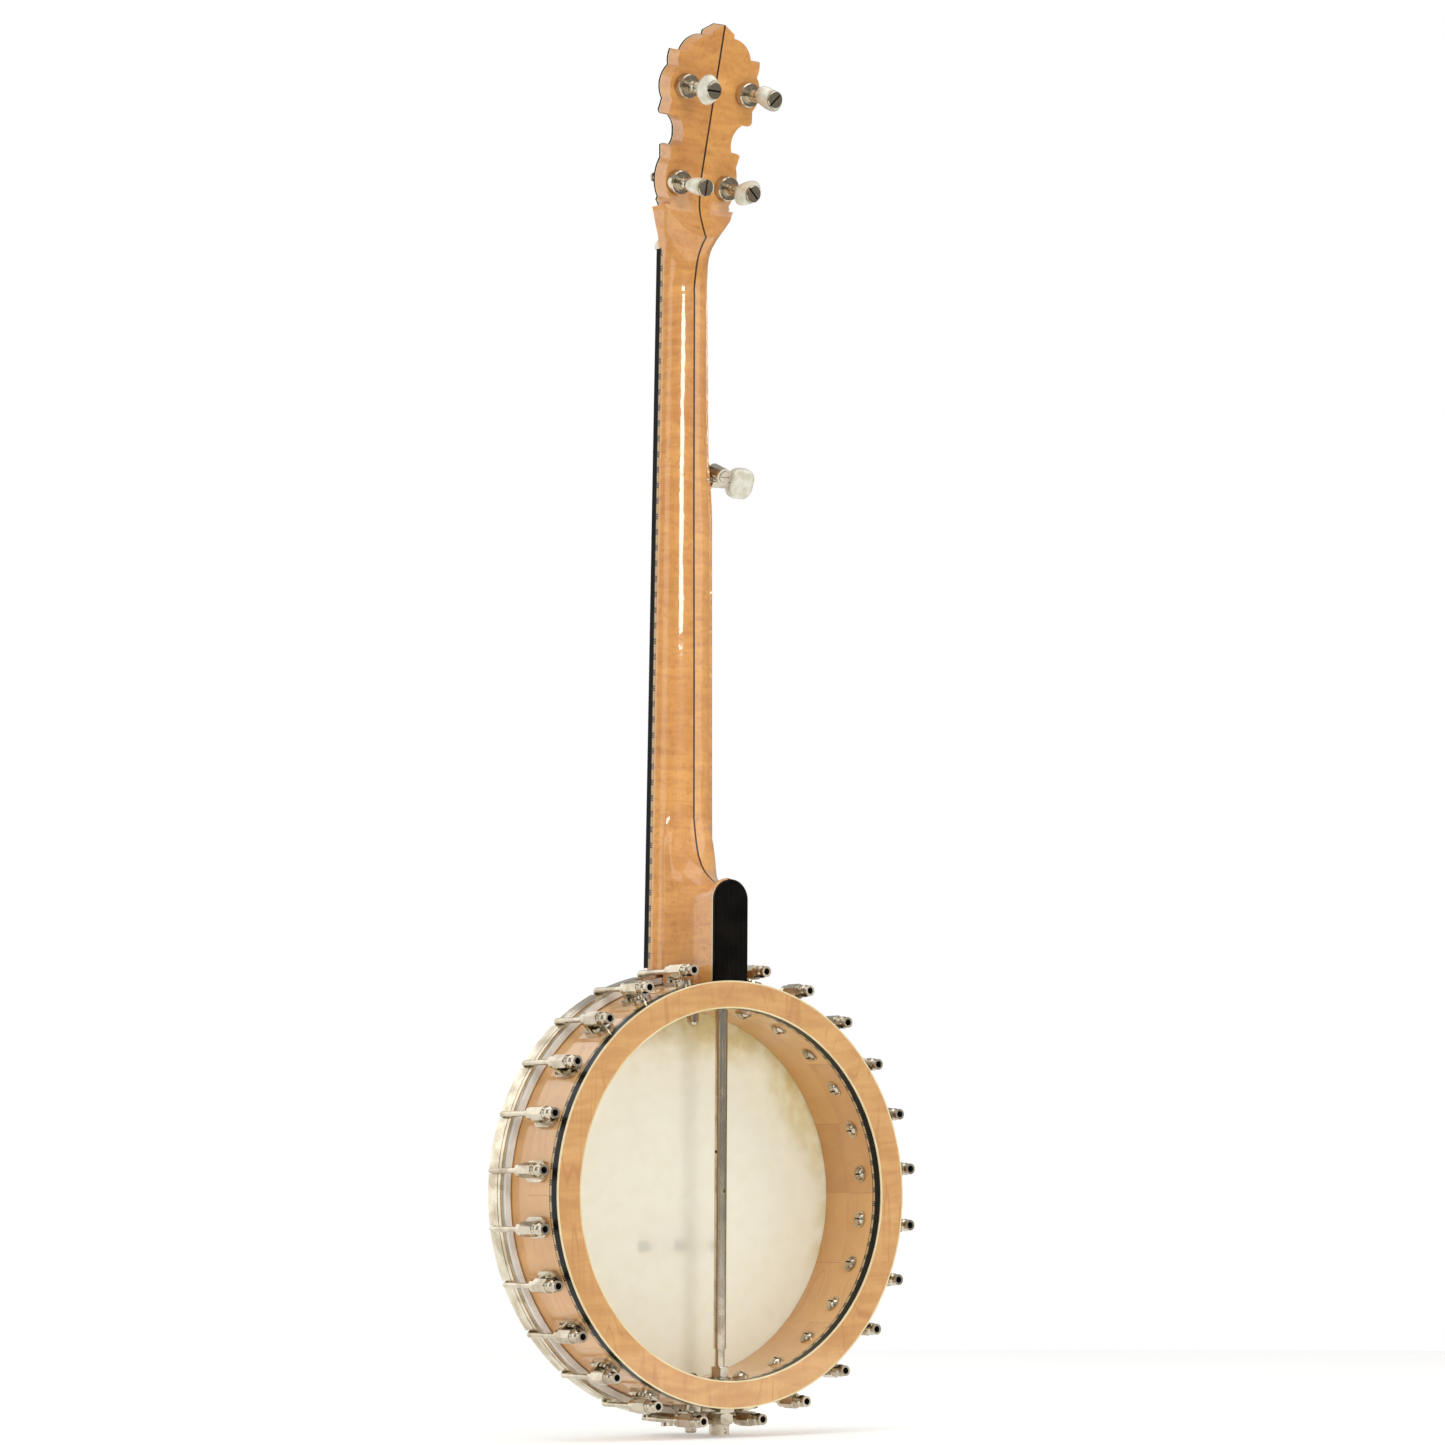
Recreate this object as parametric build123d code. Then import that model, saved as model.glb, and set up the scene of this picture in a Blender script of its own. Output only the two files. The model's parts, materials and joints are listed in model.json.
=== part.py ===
from build123d import *
import math
import os

# Open-back five-string banjo, standing upright.
# +Z runs up the neck, -Y is the playing side (head and strings), +Y is the open back,
# +X is the treble side and -X the side of the short fifth string.
# Pot-frame sizes are measured from the centre of the ring that closes the rim's back:
# y = 0 is that back face and depths towards the head are negative.

# ---- driving dimensions (mm) ----
POT_HEIGHT = 158.0            # pot centre above the origin, which is level with the lowest hardware
SCALE_LENGTH = 666.75         # nut to bridge
FRET_COUNT = 22

RIM_OUTER_R = 139.7           # an eleven-inch pot
RIM_INNER_R = 121.5
RIM_FRONT_Y = -60.9
COURSE_JOINT_Y = -34.0
BLOCKS_PER_COURSE = 8
INLAY_DEPTH = 1.5             # radial thickness of the bands let into both rim walls
EDGE_LINE_WIDTH = 1.0
BAND_FRONT_Y = -6.5           # black band ends, marquetry begins
MARQUETRY_FRONT_Y = -9.5

HEAD_BACK_Y = -61.3
HEAD_THICKNESS = 0.5
HEAD_FRONT_Y = HEAD_BACK_Y - HEAD_THICKNESS
TONE_RING_WIRE_R = 2.75
HOOP_OUTER_R = 147.0
HOOP_INNER_R = 141.2
HOOP_FRONT_Y = -69.5
HOOP_BACK_Y = -57.0
HOOP_SKIRT_Y = -55.5
NOTCH_FLOOR_Y = -63.4

HOOKS_PER_SIDE = 12
FIRST_HOOK_ANGLE = 11.4       # degrees from the neck
LAST_HOOK_ANGLE = 170.8
HOOK_CIRCLE_R = 149.2
HOOK_WIRE_R = 1.8
SHOE_BOLT_Y = -21.5
EAR_BACK_Y = -26.9            # hook nuts bear here

NECK_TILT = 1.15              # degrees that the neck leans back from the pot
BOARD_END_Z = 150.0           # pot end of the fingerboard, from the pot centre
BOARD_END_Y = -70.2           # fingerboard's playing face at that end
BOARD_LENGTH = 484.0
BOARD_THICKNESS = 4.6
PURFLING_HEIGHT = 3.4
PURFLING_WIDTH = 1.6
NUT_HALF_WIDTH = 15.9
BOARD_END_HALF_WIDTH = 22.5
NUT_LENGTH = 5.0
CENTRE_STRIP_HALF = 0.7
STEP_TOP_Z = 352.0            # where the fifth-string side starts to widen, along the neck
STEP_FOOT_Z = 300.0
STEP_FOOT_HALF_WIDTH = 20.9

HEEL_CAP_FRONT = 65.9         # depths from the fingerboard's face
HEEL_CAP_BACK = 68.9
HEEL_VENEER = 0.8
HEEL_CAP_HALF_WIDTH = 13.5
HEEL_CAP_TOP = 57.7

PEGHEAD_TILT = 16.05          # degrees back from the pot's axis
PEGHEAD_Y = -29.8             # a point on the peghead's back face, in the pot frame
PEGHEAD_Z = 681.3
PEGHEAD_WOOD = 12.0
PEGHEAD_VENEER = 0.6
PEGHEAD_OVERLAY = 1.6
PEGHEAD_THICKNESS = PEGHEAD_WOOD + PEGHEAD_VENEER + PEGHEAD_OVERLAY

# name: (x, height along the peghead, turn of the button about its shaft at rest)
TUNERS = {
    1: (19.6, -6.7, 90.0),
    2: (25.0, 57.3, 0.0),
    3: (-25.0, 57.3, 50.0),
    4: (-19.6, -6.7, -40.0),
}
SHAFT_CLEARANCE = 0.05        # radial running clearance of every shaft in its bore
POST_R = 3.2

ROD_R = 4.1
ROD_END_R = 3.25
TAIL_SKIRT_Z = -148.7         # inner face of the tailpiece where it passes outside the hoop
TAIL_PLATE = 2.0
ROD_TOP_Y = -13.1             # rod axis where it meets the neck end of the pot
ROD_TOP_Z = 115.0
NECK_BOLT_DROP = 32.4         # second neck bolt, towards the head from the rod

BRIDGE_Z = -34.4
BRIDGE_HEIGHT = 17.5
STRING_SPACING_BRIDGE = 10.5
STRING_SPACING_NUT = 8.3
NUT_STRING_HEIGHT = 1.8       # strings above the fingerboard at the nut

FIFTH_Z = 478.5
FIFTH_Y = -52.0
FIFTH_X = -20.3
FIFTH_LEAN = 23.0             # degrees that the fifth peg's post leans up the neck

POT = Pos(0, 0, POT_HEIGHT)
NECK = Pos(0, BOARD_END_Y, BOARD_END_Z) * Rot(X=-NECK_TILT)
PEGHEAD = Pos(0, PEGHEAD_Y, PEGHEAD_Z) * Rot(X=-PEGHEAD_TILT)
ROD = Pos(0, ROD_TOP_Y, ROD_TOP_Z) * Rot(X=-NECK_TILT)
FIFTH = Pos(FIFTH_X, FIFTH_Y, FIFTH_Z) * Rot(X=-FIFTH_LEAN)
ALONG_Y = Rot(X=-90)          # turns a shape built along +Z to run along +Y


# ---- small shared shapes ----

def ring(inner_r, outer_r, front_y, back_y):
    """A ring about the pot's axis between two depths."""
    depth = back_y - front_y
    tube = Cylinder(outer_r, depth) - Cylinder(inner_r, depth + 2)
    return Pos(0, (front_y + back_y) / 2, 0) * Rot(X=90) * tube


def disc_between(radius, low_z, high_z):
    """A cylinder along Z between two heights."""
    return Pos(0, 0, (low_z + high_z) / 2) * Cylinder(radius, high_z - low_z)


def box_between(x0, x1, y0, y1, z0, z1):
    """A box from its low and high limits."""
    return Pos((x0 + x1) / 2, (y0 + y1) / 2, (z0 + z1) / 2) * Box(x1 - x0, y1 - y0, z1 - z0)


def hex_nut(across_flats, low_z, high_z, bore_r):
    """A hexagon nut along Z with bevelled corners and a plain bore."""
    height = high_z - low_z
    blank = extrude(RegularPolygon(across_flats / 2, 6, major_radius=False), height)
    corner_r = across_flats / math.sqrt(3)
    bevel = Pos(0, 0, height / 2) * Cylinder(corner_r, height)
    bevel = chamfer(bevel.edges().filter_by(GeomType.CIRCLE), 0.08 * across_flats)
    nut_body = (blank & bevel) - Pos(0, 0, height / 2) * Cylinder(bore_r, height + 2)
    return Pos(0, 0, low_z) * nut_body


def wire(points, radius, corner_r):
    """Round wire along straight runs joined by tangent arcs."""
    path = FilletPolyline(*points, radius=corner_r) if corner_r else Polyline(*points)
    section = Plane(origin=path @ 0, z_dir=path % 0) * Circle(radius)
    return sweep(section, path=path)


def around_pot(shape):
    """Copies of a shape, built at the neck end, at every hook position."""
    step = (LAST_HOOK_ANGLE - FIRST_HOOK_ANGLE) / (HOOKS_PER_SIDE - 1)
    angles = [FIRST_HOOK_ANGLE + step * k for k in range(HOOKS_PER_SIDE)]
    return [Rot(Y=side * angle) * shape for side in (1, -1) for angle in angles]


def solids_of(shape):
    """The separate solids of a shape or of a list of shapes."""
    if isinstance(shape, (list, tuple)):
        return [solid for item in shape for solid in item.solids()]
    return list(shape.solids())


# ---- the pot ----

def wall_inlays(front_y, back_y, depth):
    """Two flush bands, one in the outer wall and one in the inner wall."""
    outer = ring(RIM_OUTER_R - depth, RIM_OUTER_R, front_y, back_y)
    inner = ring(RIM_INNER_R, RIM_INNER_R + depth, front_y, back_y)
    return [outer, inner]


def bolt_holes():
    """Clearance holes through the rim: every shoe bolt, the rod and the neck bolt."""
    shoe_hole = Pos(0, SHOE_BOLT_Y, 130) * Cylinder(2.6, 40)
    rod_holes = [ROD * disc_between(3.5, -275, -225), ROD * disc_between(3.3, 0, 40)]
    neck_bolt_hole = ROD * Pos(0, -NECK_BOLT_DROP, 0) * disc_between(2.8, 0, 40)
    return around_pot(shoe_hole) + rod_holes + [neck_bolt_hole]


def block_course(section_points, first_joint_angle, holes, inlays):
    """One glued course of the rim: equal blocks swept from the same section."""
    section = make_face(Polyline(*section_points, close=True))
    block_arc = 360 / BLOCKS_PER_COURSE
    blank = revolve(section, axis=Axis.Y, revolution_arc=block_arc)
    blocks = []
    for k in range(BLOCKS_PER_COURSE):
        block = Rot(Y=first_joint_angle + block_arc * k) * blank
        for inlay in inlays:
            block = block - inlay
        blocks.append(block - holes)
    return blocks


def rim_parts():
    """The wooden rim: two block courses, marquetry, black bands, cap and edge lines."""
    holes = bolt_holes()
    rabbet_r = RIM_OUTER_R - 6.0
    rabbet_y = HEAD_BACK_Y + 2 * TONE_RING_WIRE_R
    marquetry = wall_inlays(MARQUETRY_FRONT_Y, BAND_FRONT_Y, INLAY_DEPTH)
    black = wall_inlays(BAND_FRONT_Y, -EDGE_LINE_WIDTH, INLAY_DEPTH)
    lines = wall_inlays(-EDGE_LINE_WIDTH, 0, EDGE_LINE_WIDTH)
    cap = ring(RIM_INNER_R, RIM_OUTER_R, BAND_FRONT_Y, 0)
    for band in black + lines:
        cap = cap - band
    front_section = [
        (RIM_INNER_R, COURSE_JOINT_Y), (RIM_INNER_R, RIM_FRONT_Y), (rabbet_r, RIM_FRONT_Y),
        (rabbet_r, rabbet_y), (RIM_OUTER_R, rabbet_y), (RIM_OUTER_R, COURSE_JOINT_Y),
    ]
    back_section = [
        (RIM_INNER_R, BAND_FRONT_Y), (RIM_INNER_R, COURSE_JOINT_Y),
        (RIM_OUTER_R, COURSE_JOINT_Y), (RIM_OUTER_R, BAND_FRONT_Y),
    ]
    half_block = 180 / BLOCKS_PER_COURSE
    return {
        "rim_front_course": block_course(front_section, half_block, holes, []),
        "rim_back_course": block_course(back_section, 0, holes, marquetry),
        "rim_marquetry": marquetry,
        "rim_black_bands": black,
        "rim_cap": cap,
        "rim_edge_lines": lines,
    }


def head_parts():
    """The tone ring, the skin and the two hoops that stretch it."""
    wire_circle = RIM_OUTER_R - 0.1 - TONE_RING_WIRE_R
    tone_ring = Rot(X=90) * Torus(wire_circle, TONE_RING_WIRE_R)
    tone_ring = Pos(0, HEAD_BACK_Y + TONE_RING_WIRE_R, 0) * tone_ring
    collar_r = RIM_OUTER_R + 0.25
    skin_edge_r = collar_r + HEAD_THICKNESS
    skin = Pos(0, (HEAD_FRONT_Y + HEAD_BACK_Y) / 2, 0) * Rot(X=90) * Cylinder(skin_edge_r, HEAD_THICKNESS)
    collar = ring(collar_r, skin_edge_r, HEAD_BACK_Y, -54.0)
    flesh_hoop = ring(skin_edge_r + 0.05, 144.5, HOOP_BACK_Y, -53.0)
    hoop = ring(HOOP_INNER_R, HOOP_OUTER_R, HOOP_FRONT_Y, HOOP_BACK_Y)
    hoop = hoop + ring(144.8, HOOP_OUTER_R, HOOP_BACK_Y, HOOP_SKIRT_Y)
    groove = ring(HOOP_OUTER_R - 0.5, HOOP_OUTER_R + 1, -59.2, -58.4)
    notch_half = HOOK_WIRE_R + 0.15
    notch = box_between(-notch_half, notch_half, HOOP_FRONT_Y - 1, NOTCH_FLOOR_Y, 140, 148.5)
    hoop = hoop - groove - around_pot(notch)
    return {
        "tone_ring": tone_ring,
        "head_membrane": skin,
        "head_collar": collar,
        "flesh_hoop": flesh_hoop,
        "tension_hoop": hoop,
    }


def hook():
    """One flat-topped hook: a straight threaded wire with a short leg over the hoop."""
    leg_y = NOTCH_FLOOR_Y - HOOK_WIRE_R
    points = [(0, -9, HOOK_CIRCLE_R), (0, leg_y, HOOK_CIRCLE_R), (0, leg_y, HOOP_INNER_R + 0.6)]
    return wire(points, HOOK_WIRE_R, 2.2)


def hook_nut():
    """One long open-ended nut: hexagon, waist, ring and a collared mouth."""
    hex_length = 14.0
    profile = [
        (0, hex_length), (3.9, hex_length), (3.2, hex_length + 1.4), (3.2, hex_length + 3.0),
        (4.1, hex_length + 3.8), (4.1, hex_length + 5.6), (3.0, hex_length + 6.6),
        (2.9, hex_length + 8.0), (3.6, hex_length + 8.8), (3.6, hex_length + 10.5),
        (0, hex_length + 10.5),
    ]
    tail = revolve(make_face(Polyline(*[(r, 0, z) for r, z in profile], close=True)), axis=Axis.Z)
    body = hex_nut(8.8, 0, hex_length, 0.5) + tail
    body = body - disc_between(HOOK_WIRE_R + 0.02, -1, 18.5) - disc_between(2.2, 18.5, 30)
    return Pos(0, EAR_BACK_Y, HOOK_CIRCLE_R) * ALONG_Y * body


def shoe():
    """One bracket shoe: a curved foot on the rim, a boss and the ear round its hook."""
    foot = Pos(0, -23, 140) * extrude(Rot(Z=90) * SlotOverall(24, 14), 12, both=True)
    foot = foot & ring(RIM_OUTER_R, RIM_OUTER_R + 2.9, -40, 0)
    boss = Pos(0, SHOE_BOLT_Y, 0) * disc_between(4.6, RIM_OUTER_R + 0.4, RIM_OUTER_R + 4.0)
    ear_front = EAR_BACK_Y - 3.7
    ear = box_between(-3.7, 3.7, ear_front, EAR_BACK_Y, RIM_OUTER_R + 0.3, HOOK_CIRCLE_R)
    ear = ear + Pos(0, ear_front, HOOK_CIRCLE_R) * ALONG_Y * disc_between(4.4, 0, 3.7)
    ear = ear - Pos(0, ear_front - 1, HOOK_CIRCLE_R) * ALONG_Y * disc_between(HOOK_WIRE_R + 0.1, 0, 6)
    body = foot + boss + ear
    return body - Pos(0, SHOE_BOLT_Y, 0) * disc_between(2.42, RIM_OUTER_R - 1, RIM_OUTER_R + 3.7)


def shoe_bolt():
    """One shoe bolt with its slotted dome inside the pot, and its washer."""
    seat_z = RIM_INNER_R - 1.15
    dome_r = 4.5
    dome_height = 2.7
    sphere_r = (dome_r ** 2 + dome_height ** 2) / (2 * dome_height)
    dome = Pos(0, 0, seat_z + sphere_r - dome_height) * Sphere(sphere_r)
    dome = dome & disc_between(dome_r, seat_z - dome_height - 1, seat_z)
    dome = dome - box_between(-0.5, 0.5, -6, 6, seat_z - 4, seat_z - 1.5)
    shank = disc_between(2.4, seat_z, RIM_OUTER_R + 3.4)
    return Pos(0, SHOE_BOLT_Y, 0) * (dome + shank)


def shoe_washer():
    """One curved washer against the rim's inner wall."""
    blank = Pos(0, SHOE_BOLT_Y, 0) * (disc_between(5.5, 115, 125) - disc_between(2.6, 114, 126))
    return blank & ring(RIM_INNER_R - 1.0, RIM_INNER_R, -40, 0)


def bracket_parts():
    """Everything that repeats at each hook."""
    return {
        "bracket_hooks": around_pot(hook()),
        "hook_nuts": around_pot(hook_nut()),
        "bracket_shoes": around_pot(shoe()),
        "shoe_bolts": around_pot(shoe_bolt()),
        "shoe_washers": around_pot(shoe_washer()),
    }


# ---- coordinator rod and tail, built along the rod's own axis ----

def rod_level(pot_z):
    """Distance along the rod's axis for a height measured from the pot centre."""
    return pot_z - ROD_TOP_Z


def rod_parts():
    """The rod across the pot, its nuts and washers, and the two neck bolts."""
    rod = disc_between(ROD_R, rod_level(-101), rod_level(120.9))
    rod = rod + disc_between(ROD_END_R, rod_level(-157.0), rod_level(-101))
    rod = rod - disc_between(3.0, rod_level(106), rod_level(122))
    across = Cylinder(1.1, 12)
    rod = rod - Pos(0, 0, rod_level(27.6)) * Rot(Y=90) * across
    rod = rod - Pos(0, 0, rod_level(2.0)) * Rot(X=90) * across
    inner_nut = hex_nut(10.8, rod_level(-119.5), rod_level(-112.4), ROD_END_R)
    outer_nut = hex_nut(16.8, rod_level(-149.9), rod_level(-142.6), ROD_END_R)
    bore = disc_between(ROD_END_R, rod_level(-160), rod_level(-100))
    washers = [
        disc_between(7.6, rod_level(-120.9), rod_level(-119.5)) - bore,
        disc_between(9.4, rod_level(-142.6), rod_level(-142.0)) - bore,
    ]
    lower_bolt = disc_between(3.0, rod_level(106.5), rod_level(178))
    upper_bolt = Pos(0, -NECK_BOLT_DROP, 0) * disc_between(2.5, rod_level(114), rod_level(178))
    acorn = disc_between(3.95, rod_level(113), rod_level(120.7))
    acorn = acorn + Pos(0, 0, rod_level(113.4)) * Sphere(3.4)
    acorn = acorn - disc_between(2.5, rod_level(113.9), rod_level(122))
    acorn = Pos(0, -NECK_BOLT_DROP, 0) * acorn
    return {
        "coordinator_rod": ROD * rod,
        "rod_nuts": [ROD * inner_nut, ROD * outer_nut],
        "rod_washers": [ROD * washer for washer in washers],
        "neck_hanger_bolts": [ROD * lower_bolt, ROD * upper_bolt],
        "neck_acorn_nut": ROD * acorn,
    }


def tail_parts():
    """The tailpiece on the rod's end, its round lock nut and its adjusting screw."""
    bore = disc_between(ROD_END_R + 0.05, rod_level(-160), rod_level(-130))
    plate = TAIL_PLATE
    seat = rod_level(-140.0)
    skirt = rod_level(TAIL_SKIRT_Z)
    lip = rod_level(-117)
    inner_line = [(9, seat), (-13, seat), (-17, skirt), (-65, skirt), (-60, lip)]
    outer_line = [(-62.1, lip), (-67.2, skirt - plate), (-15.8, skirt - plate), (-11.8, seat - plate), (9, seat - plate)]
    side = make_face(Polyline(*[(0, y, z) for y, z in inner_line + outer_line], close=True))
    body = extrude(side, 17, both=True, dir=(1, 0, 0))
    plan_points = [
        (-5.5, 9), (5.5, 9), (6.5, -12), (6.5, -24), (14.5, -44), (15, -70),
        (-15, -70), (-14.5, -44), (-6.5, -24), (-6.5, -12),
    ]
    plan = Polyline(*[(x, y, seat - 20) for x, y in plan_points], close=True)
    body = body & extrude(make_face(plan), 60, dir=(0, 0, 1))
    body = body - bore
    screw_y = -32.0
    body = body - Pos(0, screw_y, 0) * disc_between(2.5, skirt - 5, skirt + 5)
    lug_y = -48.0
    for k in range(-2, 3):
        lug = box_between(-1.3, 1.3, -1.6, 1.6, skirt - plate - 3.0, skirt - plate + 0.5)
        body = body + Pos(5.3 * k, lug_y, 0) * lug
    lock_nut = disc_between(6.6, rod_level(-157.3), rod_level(-150.0)) - bore
    mouth = Pos(0, 7.2, rod_level(-154.4)) * Rot(X=90) * Cone(3.2, 1.1, 3.0)
    lock_nut = lock_nut - mouth
    screw = disc_between(2.5, skirt - plate - 2.4, rod_level(-141.0))
    screw = screw + disc_between(3.8, rod_level(-157.6), skirt - plate - 2.4)
    screw = fillet(screw.edges().group_by(Axis.Z)[0], 1.6)
    return {
        "tailpiece": ROD * body,
        "tailpiece_lock_nut": ROD * lock_nut,
        "tailpiece_screw": ROD * Pos(0, screw_y, 0) * screw,
    }


# ---- the neck, in its own frame: y is depth behind the fingerboard's face,
# ---- z runs from the fingerboard's pot end to the peghead

def treble_half_width(z):
    """Half width of the neck on the treble side."""
    return BOARD_END_HALF_WIDTH + (NUT_HALF_WIDTH - BOARD_END_HALF_WIDTH) * z / BOARD_LENGTH


def bass_half_width(z):
    """Half width on the fifth-string side, which widens below the fifth peg."""
    if z >= STEP_TOP_Z:
        return treble_half_width(z)
    if z <= STEP_FOOT_Z:
        return BOARD_END_HALF_WIDTH + (STEP_FOOT_HALF_WIDTH - BOARD_END_HALF_WIDTH) * z / STEP_FOOT_Z
    t = (STEP_TOP_Z - z) / (STEP_TOP_Z - STEP_FOOT_Z)
    blend = t * t * (3 - 2 * t)
    return treble_half_width(STEP_TOP_Z) + (STEP_FOOT_HALF_WIDTH - treble_half_width(STEP_TOP_Z)) * blend


def board_outline():
    """The fingerboard's outline as a face in the plane of its playing surface."""
    end, foot, top = -BOARD_END_HALF_WIDTH, -STEP_FOOT_HALF_WIDTH, -treble_half_width(STEP_TOP_Z)
    lower = Line((end, 0, 0), (foot, 0, STEP_FOOT_Z))
    upper = Line((top, 0, STEP_TOP_Z), (-NUT_HALF_WIDTH, 0, BOARD_LENGTH))
    step = Spline(lower @ 1, upper @ 0, tangents=[lower % 1, upper % 0])
    nut_end = Line(upper @ 1, (NUT_HALF_WIDTH, 0, BOARD_LENGTH))
    treble = Line(nut_end @ 1, (BOARD_END_HALF_WIDTH, 0, 0))
    pot_end = Line(treble @ 1, lower @ 0)
    return make_face([lower, step, upper, nut_end, treble, pot_end])


def deepen(face, front, back):
    """Extrude a face that lies at depth zero so that it fills front to back."""
    return Pos(0, front, 0) * extrude(face, back - front, dir=(0, 1, 0))


# neck sections in spans that are skinned one after the other, each row
# (z, centre depth, depth where the round back starts, extra half width)
NECK_SPANS = [
    [(-16, 25.4, 8.8, 0.3), (135, 24.8, 8.8, 0.3), (285, 23.1, 8.8, 0.3)],
    [(285, 23.1, 8.8, 0.3), (301, 22.9, 8.8, 0.3), (318, 22.7, 8.8, 0.3), (335, 22.6, 8.8, 0.3),
     (351, 22.5, 8.8, 0.3), (367, 22.4, 8.8, 0.3)],
    [(367, 22.4, 8.8, 0.3), (410, 22.1, 8.8, 0.3), (452, 21.9, 8.8, 0.3)],
    [(452, 21.9, 8.8, 0.3), (464, 22.8, 8.9, 0.3), (474, 25.0, 9.6, 0.4), (482, 28.8, 11.0, 1.0),
     (490, 36.0, 13.5, 3.0), (499, 45.0, 18.0, 7.0), (510, 53.0, 26.0, 12.0)],
]


def neck_section(z, depth, shoulder, extra):
    """One D-shaped section of the neck."""
    treble = treble_half_width(min(z, BOARD_LENGTH)) + extra
    bass = bass_half_width(min(z, BOARD_LENGTH)) + extra
    back = []
    for k in range(9):
        turn = math.pi * k / 8
        half = treble if k <= 4 else bass
        back.append((half * math.cos(turn), shoulder + (depth - shoulder) * math.sin(turn), z))
    flat = Line((-bass, BOARD_THICKNESS, z), (treble, BOARD_THICKNESS, z))
    down = Line(flat @ 1, back[0])
    curve = Spline(*back, tangents=[(0, 1, 0), (0, -1, 0)])
    up = Line(back[-1], flat @ 0)
    return make_face([flat, down, curve, up])


# heel outlines: (depth, top, half width, height of the rounded end over its half width)
HEEL_SECTIONS = [
    (19.0, 128.0, 20.0, 2.6), (25.0, 100.0, 18.6, 2.1), (28.6, 81.0, 17.6, 1.7), (32.4, 71.0, 16.8, 1.4),
    (39.2, 62.8, 15.7, 1.2), (47.2, 57.6, 14.7, 1.1), (57.0, 56.4, 13.9, 1.0), (65.1, 57.7, 13.5, 1.0),
]


def arch_face(depth, top, half_width, rise):
    """An upright outline with a rounded top, at one depth behind the fingerboard."""
    spring = top - rise * half_width
    base = Line((-half_width, depth, -16), (half_width, depth, -16))
    right = Line(base @ 1, (half_width, depth, spring))
    crown_plane = Plane(origin=(0, depth, spring), x_dir=(1, 0, 0), z_dir=(0, -1, 0))
    crown = crown_plane * EllipticalCenterArc((0, 0), half_width, rise * half_width, arc_size=180)
    left = Line((-half_width, depth, spring), base @ 0)
    return make_face([base, right, crown, left])


# half of the peghead's outline, from the tip down: straight and curved steps as
# (kind, end point, point on the way)
PEGHEAD_EDGE = [
    ("line", (8.8, 95.6), None), ("line", (9.2, 92.8), None),
    ("arc", (25.2, 80.4), (19.4, 89.0)), ("arc", (32.6, 80.2), (29.0, 79.2)),
    ("arc", (32.4, 69.4), (33.4, 75.0)), ("arc", (33.0, 46.6), (36.8, 58.6)),
    ("line", (34.2, 38.6), None), ("arc", (28.0, 37.2), (31.6, 36.4)),
    ("arc", (21.6, 16.8), (20.0, 26.6)), ("arc", (28.6, 15.8), (25.2, 17.2)),
    ("line", (27.0, 7.6), None), ("arc", (24.2, -18.6), (28.9, -6.4)),
    ("line", (24.8, -20.8), None), ("arc", (17.4, -35.6), (19.6, -29.2)),
    ("line", (15.9, -48.0), None), ("line", (15.9, -60.0), None),
]


def peghead_outline():
    """The scrolled peghead outline as a face in the plane of its back."""
    edges = []
    for side in (1, -1):
        here = (0, 0, 101.0)
        for kind, (x, s), way in PEGHEAD_EDGE:
            there = (side * x, 0, s)
            if kind == "line":
                edges.append(Line(here, there))
            else:
                edges.append(ThreePointArc(here, (side * way[0], 0, way[1]), there))
            here = there
    edges.append(Line((15.9, 0, -60), (-15.9, 0, -60)))
    return make_face(edges)


def volute_limit():
    """The region in front of the scooped surface behind the peghead and nut."""
    scoop = Spline(
        (0, 34.8, 489.3), (0, 30.1, 499.4), (0, 27.5, 507.5), (0, 27.1, 516.0), (0, 29.4, 532.0),
        tangents=[(0, -0.52, 0.85), (0, math.sin(math.radians(14.9)), math.cos(math.radians(14.9)))],
    )
    rise = Line((0, 60, 470), scoop @ 0)
    slope = Line(scoop @ 1, (0, 29.4 + 120 * math.tan(math.radians(14.9)), 652))
    outer = Polyline(slope @ 1, (0, -40, 652), (0, -40, -40), (0, 90, -40), (0, 90, 470), rise @ 0)
    face = make_face([rise, scoop, slope, outer])
    return extrude(face, 60, both=True, dir=(1, 0, 0))


def tuner_place(number):
    """Frame of a tuner: z runs out of the peghead's back."""
    x, height, _ = TUNERS[number]
    return PEGHEAD * Pos(x, 0, height) * ALONG_Y


def tuner_holes(radius):
    """Holes through the peghead for the four tuner sleeves."""
    return [tuner_place(number) * disc_between(radius, -20, 1) for number in TUNERS]


def tuner_seats():
    """Flat seats for the tuner drums, cut into the swell below the peghead's back."""
    return [tuner_place(number) * disc_between(8.45, 0, 8) for number in TUNERS]


def rim_clearance():
    """Space taken by the rim and, nearer the head, by the hoops."""
    rim_space = Pos(0, -25, 0) * Rot(X=90) * Cylinder(RIM_OUTER_R, 70)
    hoop_space = Pos(0, -72.4, 0) * Rot(X=90) * Cylinder(HOOP_OUTER_R + 0.5, 40)
    return [rim_space, hoop_space]


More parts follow.
